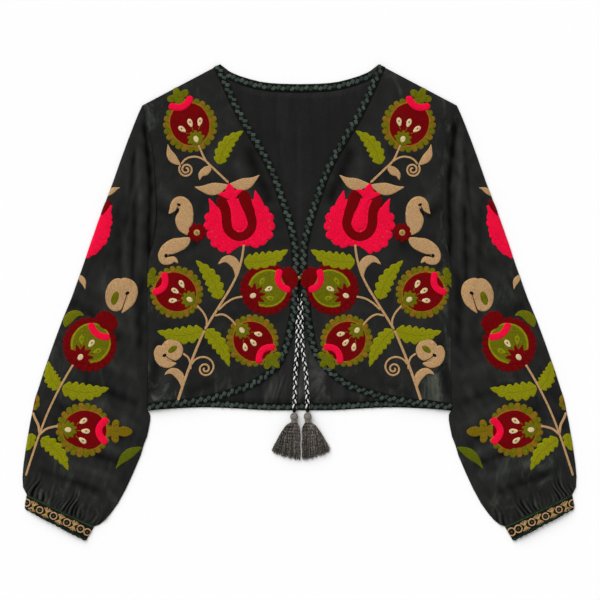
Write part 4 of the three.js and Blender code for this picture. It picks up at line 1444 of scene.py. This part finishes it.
@dataclass
class FrontMotifs:
    """The flowers, fruit and leaves stitched on one front."""

    work: Needlework

    def build(self) -> bpy.types.Object:
        """Stitches the whole front.

        Returns:
            The finished piece.
        """
        self.vine()
        self.main_stem()
        self.leaves()
        self.tulip()
        self.curls()
        self.fruit()
        return self.work.build()

    def vine(self) -> None:
        """The thin vine under the upper fruit, with its spiral and tan leaves."""
        work = self.work
        work.stem([(152, 238), (147, 226), (140, 212), (127, 199), (106, 179)], 1.6, 1.8)
        work.stem([(139, 211), (150, 217), (161, 218), (171, 214), (177.5, 206)], 1.5, 1.6)
        work.spiral((169.5, 199), 11, 42, 1.95, way=-1)
        work.leaf((178, 206), (197, 237), 13, Dye.TAN, -0.14, 0)
        petal = [(134, 206, 0.8), (136, 201, 5), (141.5, 196, 6.4), (147.5, 191.5, 4.2), (149.5, 183, 0.6)]
        work.ribbon(petal, Dye.TAN, 0.95)
        work.leaf((107, 176), (157, 173), 18.5, Dye.TAN, -0.1, 0)
        work.leaf((105, 177), (60, 191), 18, Dye.TAN, 0.14, 0)

    def main_stem(self) -> None:
        """The stem that runs down the front to the bud and the lower spiral."""
        work = self.work
        work.stem([(83, 88), (86, 67), (92, 45), (103, 22), (116, 1), (126, -15), (142, -41)], 1.8, 1.9)
        work.stem([(142, -41), (151, -62), (160, -84), (172, -117), (182, -147)], 1.9, 2.1)
        work.stem([(154, -4), (144, -15), (139, -26), (139, -36)], 1.6)
        work.stem([(84, 9), (98, 6), (110, -1), (122, -12)], 1.6)
        work.stem([(94, -35), (104, -24), (115, -18), (128, -20)], 1.6)
        work.stem([(175, -76), (167, -82), (163.5, -91), (163, -101)], 1.6)
        work.spiral((141, -99.4), 13, 15, 2.1, way=1, lead=9.0)
        hook = [(95.5, 36, 0.8), (94, 46, 4), (96, 57, 7), (104, 64, 6.8), (113, 64, 4.2), (122, 57, 0.6)]
        work.ribbon(hook, Dye.TAN, 0.95)

    def leaves(self) -> None:
        """The lobed green leaves."""
        work = self.work
        work.leaf((121, 207), (84, 257), 22, bend=-0.12)
        work.leaf((83, 61), (17, 79), 26)
        work.leaf((119, 5), (155, 63), 23, bend=0.08)
        work.leaf((144, -42), (213, -43), 25, bend=-0.1)
        work.leaf((140, -41), (105, -96), 22, bend=-0.08)
        hook = [
            (176, -128, 0.8), (176.5, -117, 5), (181, -108, 6.6),
            (189, -103, 5.4), (196, -104, 3), (202, -108, 0.6),
        ]
        work.ribbon(hook, Dye.TAN, 0.95)

    def tulip(self) -> None:
        """The large tulip: scalloped pink sides, a dark red cup and a pink heart."""
        work = self.work
        sides = [
            (-180, 34), (-165, 35), (-153, 40), (-141, 47), (-124, 51), (-113, 54), (-93, 54), (-79, 53),
            (-62, 50), (-47, 46), (-30, 42), (0, 38), (30, 40), (48, 43), (60, 47), (74, 53), (92, 54),
            (109, 52.5), (131, 53.5), (145, 51), (160, 49.5), (168, 41), (180, 34),
        ]
        work.shape((90, 118), sides, Dye.PINK, 1.1, lobes=21, depth=0.11, lobed=(52, 163))
        horns = (
            [(127, 118, 7), (127.5, 132, 7.5), (129.5, 143, 5.5), (135.6, 156, 0.7)],
            [(56, 120, 7), (58.5, 138, 8), (62.5, 152, 6.4), (66.4, 168, 0.7)],
        )
        for horn in horns:
            work.ribbon(horn, Dye.PINK, 1.15, round_ends=False)
        cup = [
            (123, 158, 2), (118, 151.5, 7.6), (112.5, 143, 8.8), (109.6, 133, 8.8), (108.8, 118, 8.8),
            (104, 105.5, 8.6), (92, 98.6, 8), (79, 102.5, 8.2), (71, 116, 8.4), (74, 133, 9), (80, 148, 9.8),
            (82.5, 160, 9.2), (81.5, 169, 5),
        ]
        work.ribbon(cup, Dye.DARK_RED, 1.5)
        heart = [(91, 108, 5), (90.3, 115, 10.4), (91, 125, 9.8), (95, 139, 6), (99, 151, 4.8), (102, 160, 7)]
        work.ribbon(heart, Dye.PINK, 1.75)
        tips = (121.5, 161.5, 4.6), (112, 167, 4.6), (105.3, 178.5, 6.8), (96.5, 169.5, 4.6), (84, 168.5, 4.2)
        for s, y, half in tips:
            tongue = [(101, 156, 4.6), ((103 + s) / 2, (161 + y) / 2, half), (s, y, 0.9)]
            work.ribbon(tongue, Dye.PINK, 1.7, round_ends=False)
        for spot in ((131, 106), (125, 98), (48, 92), (44, 112), (46, 122), (92, 107)):
            work.disc(spot, (1.1, 1.1), Dye.OCHRE, 1.4)

    def curls(self) -> None:
        """The small flower and the two tan curls beside the tulip."""
        work = self.work
        upper = [
            (167.5, 101, 1.4), (169.5, 106, 6), (172, 113, 10.8), (172.4, 123.5, 13.8), (169.8, 134, 11.4),
            (170.5, 143, 10), (175.5, 149, 9.6), (181.5, 149.5, 9), (187, 145, 7), (190.5, 139, 4.6),
            (195.8, 132.5, 0.7),
        ]
        work.ribbon(upper, Dye.TAN)
        work.disc((180.5, 146.5), (3.2, 2), Dye.BLACK, 1.5, 70)
        slit = [(180.5, 146.5, 0.6), (183, 141.5, 0.8), (184, 136, 1.6), (186, 130, 0.8)]
        work.ribbon(slit, Dye.BLACK, 1.2)
        lower = [
            (163.5, 97, 1.4), (169, 92.5, 6.6), (177, 88, 9.6), (188, 84.5, 11.2), (199, 78.5, 9.6),
            (206, 70, 6.2), (203.5, 61.8, 5), (195.5, 62.5, 5.8), (188.5, 64.5, 4.6), (184.5, 62, 2.6),
            (181.6, 58.6, 0.7),
        ]
        work.ribbon(lower, Dye.TAN)
        work.disc((200, 70.5), (2.8, 2.2), Dye.BLACK, 1.5, -30)
        work.ribbon([(200, 70.5, 0.6), (195, 71.5, 0.9), (189, 71, 0.9)], Dye.BLACK, 1.2)
        work.disc((153.6, 104.6), (14.4, 14.4), Dye.DARK_RED, 1.3, lobes=9, depth=0.2)
        work.disc((153.6, 104.6), (4.9, 4.9), Dye.TAN, 1.9)
        work.disc((153.6, 104.6), (2.9, 2.9), Dye.LEAF, 2.2)

    def fruit(self) -> None:
        """The four pomegranates and the tan bud."""
        work = self.work
        work.pomegranate((163.5, 265.5), 41.5, 22.7, smile=(0.72, 0.97))
        work.pomegranate((184, 15), 40.5, 62)
        work.pomegranate((49.5, 20), 40.5, -64, red_inside=False, crown=Dye.DARK_RED, crown_reach=1.0)
        work.pomegranate((70.5, -57), 40, -135, crown_reach=1.03)
        arm = [
            (207, -64, 5), (211, -75, 7.2), (207, -87, 7.6),
            (198, -92.5, 5.8), (190, -92, 3.6), (184, -91, 0.8),
        ]
        slit = [(202, -79), (195, -84), (186, -88)]
        work.bud((191, -71.3, 16.8, 16.8, 0), arm, slit, (190, -70, 8.2, 4.4, 125))


@dataclass
class SleeveMotifs:
    """The flowers, fruit and leaves stitched on one sleeve, of which some run round its fold."""

    work: Needlework

    def build(self) -> bpy.types.Object:
        """Stitches the whole sleeve.

        Returns:
            The finished piece.
        """
        self.stems()
        self.leaves()
        self.half_tulip()
        self.fruit()
        return self.work.build()

    def stems(self) -> None:
        """The tan stem down the sleeve and its branches."""
        work = self.work
        main_stem = [(338, -92), (350, -112), (363, -136), (378, -168), (392, -205), (402, -235), (410, -260)]
        work.stem(main_stem, 1.7)
        work.stem([(360, -185), (368, -186), (380, -190), (390, -199)], 1.8)
        work.stem([(400, -164), (396, -174), (391, -184), (389, -197)], 2.0)

    def leaves(self) -> None:
        """The lobed leaves of the sleeve."""
        work = self.work
        work.leaf((359, -129), (376, -88), 22, bend=-0.12)
        work.leaf((355, -127), (285, -128), 26)
        work.leaf((387, -204), (346, -251), 22, bend=-0.1)
        work.leaf((236, -217), (275, -249), 15, Dye.MOSS, lobes=0)
        work.leaf((402, -196), (409, -222), 15, bend=-0.1, lobes=3)
        hook = [(322, -19.5, 0.8), (331, -16.5, 4.6), (341, -20, 7.6), (348, -28, 7), (351, -37, 2)]
        work.ribbon(hook, Dye.OLIVE)
        work.leaf((288, 159), (268.5, 172), 8.5, Dye.TAN, -0.12, 0)
        work.leaf((333, 42), (321, 19.5), 9, Dye.TAN, -0.12, 0)

    def half_tulip(self) -> None:
        """The tulip that is cut by the sleeve's fold."""
        work = self.work
        sides = [
            (-180, 33), (-163, 27.5), (-140, 21.5), (-119, 19), (-84, 18.5), (-53, 26.5), (-36, 31),
            (-29, 41), (-20, 36), (0, 27), (20, 18), (45, 13), (70, 11), (100, 13), (125, 20), (145, 38),
            (157, 49), (170, 42), (180, 33),
        ]
        work.shape((300, 110), sides, Dye.PINK, 1.1, lobes=13, depth=0.15, lobed=(44, 176))
        work.ribbon([(284, 154, 2), (288, 148, 5), (293, 140, 5.6), (298, 130, 2)], Dye.DARK_RED, 1.5)

    def fruit(self) -> None:
        """The two pomegranates, the tan bud and the small flower at the fold."""
        work = self.work
        dark = {"red_inside": False, "crown": Dye.DARK_RED, "crown_reach": 1.1}
        work.pomegranate((314, -63), 42, -36, smile=(0.46, 0.66), **dark)
        work.pomegranate((323, -191), 42, -92, crown=Dye.MUSTARD, pointed=True, smile=(0.54, 0.86))
        arm = [
            (269, 30, 6), (260, 30.5, 6.4), (251.5, 25, 7.2), (249, 15, 7.2),
            (252, 3, 6.4), (259, -7, 4.4), (266, -16, 0.8),
        ]
        slit = [(257.5, 14), (260, 6), (263, -3), (266, -12)]
        work.bud((273, 11.5, 25, 17.4, -8), arm, slit, (276, 6.5, 11, 5.4, -18))
        work.disc((402, -146), (17, 13), Dye.OLIVE, 0.9, 25, lobes=9, depth=0.12, second=Dye.OCHRE)
        work.disc((404, -147), (11, 8), Dye.DARK_RED, 1.2, 25)


@dataclass
class ClosureStud:
    """The small head of the fastened hook and eye."""

    material: bpy.types.Material
    node: str = "hook_and_eye"

    def build(self) -> bpy.types.Object:
        """Builds the head on its solid's own form.

        Returns:
            The finished stud.
        """
        piece = copy_of_solid(self.node, "hook_head", self.material)
        bpy.ops.object.shade_smooth_by_angle(angle=math.radians(40))
        return finish_piece(piece, "hook_metal", (self.node,))


@dataclass
class Studio:
    """The camera, the white table and the soft light."""

    target: Point = (0.75, 3.75)
    height: float = 2.5
    lens: float = 100.0
    sensor: float = 36.0
    reach: float = 20.0
    table: float = 6.0
    sky: float = 0.52
    sun: float = 2.7
    sun_angle: float = 0.95
    sun_way: Row = (0.7, -1.3, -1.15)

    def build(self) -> None:
        """Sets up the view and the light."""
        scene = bpy.context.scene
        camera = bpy.data.cameras.new("camera")
        camera.lens, camera.sensor_width, camera.clip_end = self.lens, self.sensor, self.reach
        view = bpy.data.objects.new("camera", camera)
        view.location = (self.target[0] * MM, self.target[1] * MM, self.height)
        scene.collection.objects.link(view)
        scene.camera = view
        scene.view_settings.view_transform = "Standard"
        bpy.ops.mesh.primitive_plane_add(size=self.table, location=(0, 0, 0))
        floor = bpy.context.active_object
        floor.name = "table"
        floor.data.materials.append(PaleTable().build())
        world = bpy.data.worlds.new("studio")
        scene.world = world
        world.use_nodes = True
        feed(world.node_tree.nodes["Background"], {"Color": grey(1.0), "Strength": self.sky})
        light = bpy.data.lights.new("window", "SUN")
        light.energy, light.angle = self.sun, self.sun_angle
        lamp = bpy.data.objects.new("window", light)
        lamp.rotation_euler = Vector(self.sun_way).to_track_quat("-Z", "Y").to_euler()
        scene.collection.objects.link(lamp)


TIE_ROUTES: dict[int, tuple[Point, ...]] = {
    1: (
        (8.4, 24), (6.4, 14), (4, 0), (3.1, -22), (3.6, -50),
        (6, -80), (9.8, -106), (11.4, -135), (12.2, -164.2),
    ),
    -1: ((8.4, 24), (6.4, 14), (4, 0), (3, -22), (3, -60), (4.4, -84), (6, -106), (6.9, -135), (8, -164.2)),
}
TASSEL_INNER = {1: 5.2, -1: 6.0}
ARMHOLE = ((295, 236), (229, 221), (169, 216), (124, 215.5), (86, 221), (61, 227), (-162, 227))  # y, then s
SLEEVE_CREASES = (
    Fold(233, 272, 224, 175, 4.5, -1.2),
    Fold(224, 175, 226, 66, 4.5, -1.1),
    Fold(243, 236, 238, 150, 4.0, 0.8),
    Fold(246, 229, 262, 101, 3.6, -0.8),
    Fold(237, 165, 240, 49, 4.0, 0.6),
    Fold(247, 150, 250, 20, 3.6, -0.8),
    Fold(256, 170, 262, 60, 4.5, 0.6),
    Fold(272, 150, 268, 40, 5.0, -0.5),
    Fold(237, 40, 240, -70, 7.0, -0.8),
    Fold(262, 60, 246, -60, 7.0, 0.6),
    Fold(300, 40, 268, -40, 9.0, 0.5),
    Fold(262, -60, 350, 10, 9.0, -0.6),
    Fold(246, -110, 330, -70, 8.0, 0.7),
    Fold(244, -150, 322, -122, 7.0, -0.7),
    Fold(240, -188, 300, -150, 6.0, 0.6),
    Fold(258, -205, 360, -156, 8.0, -0.9),
    Fold(262, -226, 352, -190, 6.0, 0.9),
    Fold(268, -240, 366, -206, 6.0, -0.9),
    Fold(280, -262, 372, -232, 6.0, 0.8),
    Fold(296, -284, 388, -250, 6.0, -0.7),
    Fold(262, -190, 252, -120, 6.0, 0.6),
    Fold(392, -190, 404, -120, 7.0, -0.6),
)
FRONT_CREASES = (
    Fold(45, 150, 78, 232, 9.0, -0.8),
    Fold(66, 140, 96, 214, 9.0, 0.7),
    Fold(186, 148, 210, 172, 7.0, 0.7),
    Fold(190, 128, 214, 144, 7.0, -0.6),
    Fold(190, -96, 216, -150, 9.0, 0.8),
    Fold(210, -60, 222, -140, 8.0, -0.7),
    Fold(120, -118, 168, -138, 8.0, -0.5),
    Fold(150, 90, 208, 66, 9.0, -0.5),
    Fold(110, 250, 132, 200, 9.0, 0.5),
)
LAP: dict[int, tuple[Point, ...]] = {  # how far each front's edge lies over, as y and the distance
    1: (
        (-135, 0), (-105, 0.5), (-90, 3.9), (-75, 7.6), (-60, 9.8), (-45, 9.0),
        (-30, 7.9), (-15, 6.0), (0, 3.0), (16, 0.6), (30, 0),
    ),
    -1: (
        (-140, 0), (-120, 1.5), (-105, 3), (-90, 5.4), (-75, 8.3), (-60, 10), (-45, 10.4),
        (-30, 9.4), (-15, 8.4), (0, 5), (16, 1.2), (30, 0),
    ),
}
LAP_LEAST = 2.4  # the least distance that stays between an edge and the centre line


def gathers(s: np.ndarray, y: np.ndarray, side: int) -> np.ndarray:
    """The gathers drawn in at the cuff's seam, uneven and fading up the sleeve.

    Args:
        s: distances from the centre line.
        y: places along it.
        side: 1 for the wearer's left sleeve, -1 for the right.

    Returns:
        The lift at each place, in millimetres.
    """
    inner, down = SIZES.cuff_inner, SIZES.cuff_down
    along = (s - inner[0]) * -down[1] + (y - inner[1]) * down[0]
    above = -((s - inner[0]) * down[0] + (y - inner[1]) * down[1])
    wander = 1.9 * np.sin(above / 6.5 + along / 10.0 + side) + 3.0 * np.sin(along / 21.0 + 2 * side)
    turn = 2 * math.pi * (along + wander)
    wave = np.sin(turn / 6.6) + 0.6 * np.sin(turn / 13.5 + 1)
    uneven = 0.55 + 0.45 * np.sin(along / 9.0 + 3 * side)
    reach = 34.0 + 14.0 * np.sin(along / 5.0 + side)
    near = smooth_rise(-above / reach, -1.0, -0.08) * smooth_rise(above, 0.0, 3.0)
    return 1.7 * wave * uneven * near


def lining_folds(s: np.ndarray, y: np.ndarray) -> np.ndarray:
    """The lining's soft upright folds, low down where the fronts part, and its centre pleat.

    Args:
        s: distances from the centre line.
        y: places along it.

    Returns:
        The lift at each place, in millimetres.
    """
    low = smooth_rise(-y, -20.0, 90.0)
    waves = np.sin(2 * math.pi * (s + 4 * np.sin(y / 40)) / 27.0)
    waves += 0.6 * np.sin(2 * math.pi * s / 13.0 + y / 30)
    pleat = np.exp(-((s / 3.0) ** 2)) * (1 - low) * smooth_rise(-y, -276.0, -250.0)
    # The even lift of 0.5 low down also paints the lower lining paler, as painted light through the fold
    # attribute.
    return (0.08 + 0.3 * low) * waves + 0.5 * low + 0.4 * pleat


def close_seam(s: np.ndarray, y: np.ndarray) -> np.ndarray:
    """Draws a sleeve's inner edge up to the body's side, so that no light comes between them.

    Args:
        s: distances from the centre line.
        y: places along it.

    Returns:
        How far each place moves in, in millimetres.
    """
    armhole = through(ARMHOLE, 6.0)
    rim = np.interp(-y, -armhole[:, 0], armhole[:, 1])
    beside = smooth_rise(y, -166.0, -160.0)
    under_hem = smooth_rise(-y, 163.5, 167.5) * (1 - smooth_rise(-y, 172.0, 240.0))
    near = 1 - smooth_rise(s, rim, rim + 9.0)
    return near * (beside * 0.75 + under_hem * 3.6)


def crush_front(s: np.ndarray, y: np.ndarray) -> np.ndarray:
    """Where a front's pile is crushed: by its outer edges and its lower corner, between 0 and 1."""
    corner = smooth_rise(s, 168, 214) * smooth_rise(-y, 82, 128)
    edge = smooth_rise(s, 196, 224) * 0.5
    neck = smooth_rise(y, 262, 330) * 0.3
    low = smooth_rise(-y, 90, 140) * 0.45
    return 0.12 + corner * 1.1 + edge + neck + low


def crush_sleeve(s: np.ndarray, y: np.ndarray) -> np.ndarray:
    """Where a sleeve's pile is crushed: down its middle and by the cuff, between 0 and 1."""
    outer = smooth_rise(s, 262, 300) * smooth_rise(-y, -140, -60) * 0.18
    cuff = smooth_rise(-y, 170, 260) * 0.22
    head = smooth_rise(y, 150, 262) * 0.3
    return 0.06 + outer + cuff + head


def lining_paler_low(s: np.ndarray, y: np.ndarray) -> np.ndarray:
    """Where the lining is paler: low down, where the fronts part, between 0 and 1."""
    return 0.15 + 0.75 * smooth_rise(-y, -20.0, 90.0)


def edge_of(y: np.ndarray) -> np.ndarray:
    """The distance of a front's cut edge from the centre line, at each place down its length."""
    line = np.array([*SIZES.front_edge, *[(y, s) for s, y in SIZES.front_hem[1:]]])[::-1]
    return np.interp(y, line[:, 0], line[:, 1])


def lap(y: np.ndarray, side: int) -> np.ndarray:
    """How far the edge of one side's front lies over towards the centre, below the hook."""
    rows = np.array(LAP[side], float)
    return np.minimum(np.interp(y, rows[:, 0], rows[:, 1]), np.maximum(edge_of(y) - LAP_LEAST, 0))


def lap_over(s: np.ndarray, y: np.ndarray, side: int) -> np.ndarray:
    """Draws a front's cloth over towards the centre, most at its edge.

    Args:
        s: distances from the centre line.
        y: places along it.
        side: 1 for the wearer's left, -1 for the right.

    Returns:
        How far each place moves in, in millimetres.
    """
    return lap(y, side) * (1 - smooth_rise(s - edge_of(y), 4.0, 48.0))


def level_on(node: str, side: int = 0) -> Callable[[np.ndarray, np.ndarray], np.ndarray]:
    """Makes a function of x and y that gives the underside of a trim's solid.

    Args:
        node: the trim's CAD node.
        side: the side of a front whose trim lies over towards the centre, or 0.

    Returns:
        The function; it takes and gives millimetres.
    """
    tree = trees_of(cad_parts[node])[0]
    thick = SIZES.trim_thick

    def level(x: float, y: float) -> float:
        """The underside at one place, or half a thickness under the trim's nearest point beside it."""
        solid_x = x + side * float(lap(y, side)) if side else x
        top = top_of([tree], solid_x, y)
        if top is None:
            near = tree.find_nearest(Vector((solid_x, y, 5.0)) * MM)[0]
            return near.z / MM - thick / 2
        return top - thick

    return np.vectorize(level, otypes=[float])


def front_path(side: int) -> list[Point]:
    """The middle of one front's braid, half its width inside the edge, as x and y."""
    edge = [*[(s, y) for y, s in SIZES.front_edge], *SIZES.front_hem[1:]]
    line = through([(s - float(lap(y, side)), y) for s, y in through(edge, 9.0)], 4.0)
    return [(side * s, y) for s, y in line + left_of(line) * SIZES.front_trim_width / 2]


def across_back(rows: tuple[Point, ...], shift: float) -> list[Point]:
    """A line across the back, from one side's half of it and how far it moves along y."""
    return [(-s, y + shift) for s, y in rows[:0:-1]] + [(s, y + shift) for s, y in rows]


def braids(gimp: bpy.types.Material) -> dict[int, bpy.types.Object]:
    """Builds the braid along the fronts, the back of the neck and the back hem.

    Args:
        gimp: the braid's finish.

    Returns:
        Each front's braid, by its side.
    """
    made = {}
    for side, word in SIDES.items():
        node = f"front_trim_{word}"
        made[side] = Braid(
            f"front_braid_{word}", node, front_path(side), SIZES.front_trim_width, level_on(node, side), gimp,
            pitch=6.0, lozenge=8.6, shift=-1.0 * side, zigzag=1.7,
        ).build()
    neck = across_back(SIZES.back_neck, -SIZES.neck_trim_width / 2)
    Braid("neck_braid", "neck_trim_back", neck, 12.5, level_on("neck_trim_back"), gimp).build()
    hem = across_back(SIZES.back_hem, SIZES.hem_trim_width / 2)
    Braid("hem_braid", "hem_trim_back", hem, SIZES.hem_trim_width, level_on("hem_trim_back"), gimp).build()
    return made


def half_jacket(side: int, finish: dict[str, bpy.types.Material], gimp: bpy.types.Object) -> None:
    """Builds one side: its front, sleeve and cuff, and the stitching on them.

    Args:
        side: 1 for the wearer's left, -1 for the right.
        finish: the finishes by name.
        gimp: the front's braid.
    """
    word, velvet, floss = SIDES[side], finish["cotton_velvet"], finish["silk_floss"]
    front = ClothShell(
        f"front_{word}", f"front_velvet_{word}", velvet, "velvet", levels=3, soften=16, ripple_mm=0.14,
        side=side, ripple_pitch=21.0, seed=3 + side, folds=FRONT_CREASES, crush=crush_front,
        draw_in=partial(lap_over, side=side), cut=(0.236, 0.519), area=0.0918,
    ).build()
    sleeve = ClothShell(
        f"sleeve_{word}", f"sleeve_velvet_{word}", velvet, "velvet", levels=3, soften=14, ripple_mm=0.24,
        side=side, ripple_pitch=19.0, seed=11 + side, folds=SLEEVE_CREASES, sculpt=partial(gathers, side=side),
        crush=crush_sleeve, draw_in=close_seam, cut=(0.34, 0.64), area=0.1365,
    ).build()
    piping, edging = f"cuff_piping_{word}", f"cuff_edging_{word}"
    ClothShell(piping, f"{piping}_soft", finish["piping_cloth"], "piping", 1, 3, 0.05, side).build()
    cuff = ClothShell(
        f"cuff_{word}", f"cuff_cloth_{word}", finish["cuff_cloth"], "cuff_band", 2, 5, 0.1, side, 11.0,
        cut=(0.222, 0.019), area=0.004,
    ).build()
    loops = ClothShell(edging, f"cuff_loops_{word}", finish["loop_yarn"], "edging", 1, 2, 0.05, side).build()
    CuffTrim(side, floss, trees_of(cuff, loops)).build()
    FrontMotifs(Needlework(f"embroidery_front_{word}", trees_of(front, gimp), floss, side)).build()
    SleeveMotifs(Needlework(f"embroidery_sleeve_{word}", trees_of(sleeve), floss, side)).build()


def main() -> None:
    """Builds the jacket in order: cords, cloth, braid, cuffs, stitching and the stud."""
    logging.basicConfig(level=logging.INFO, format="%(message)s")
    Studio().build()
    finish = {look.name: look.build() for look in FINISHES}
    for side, route in TIE_ROUTES.items():
        cord = TieCord(side, route, finish["cotton_tie"])
        piece = cord.build()
        cord.declare(piece, Tassel(side, route[-1], finish["wool_yarn"], TASSEL_INNER[side]).build())
    ClothShell(
        "back_panel", "back_velvet", finish["cotton_velvet"], "velvet", 2, 4, 0.05,
        cut=(0.472, 0.519), area=0.2224,
    ).build()
    ClothShell(
        "lining_back", "back_lining", finish["brushed_lining"], "lining", 2, 4, 0.06,
        sculpt=lining_folds, crush=lining_paler_low, cut=(0.452, 0.492), area=0.2043,
    ).build()
    gimps = braids(finish["braid_gimp"])
    for side, gimp in gimps.items():
        half_jacket(side, finish, gimp)
    ClosureStud(finish["aged_brass"]).build()


if __name__ == "__main__":
    main()
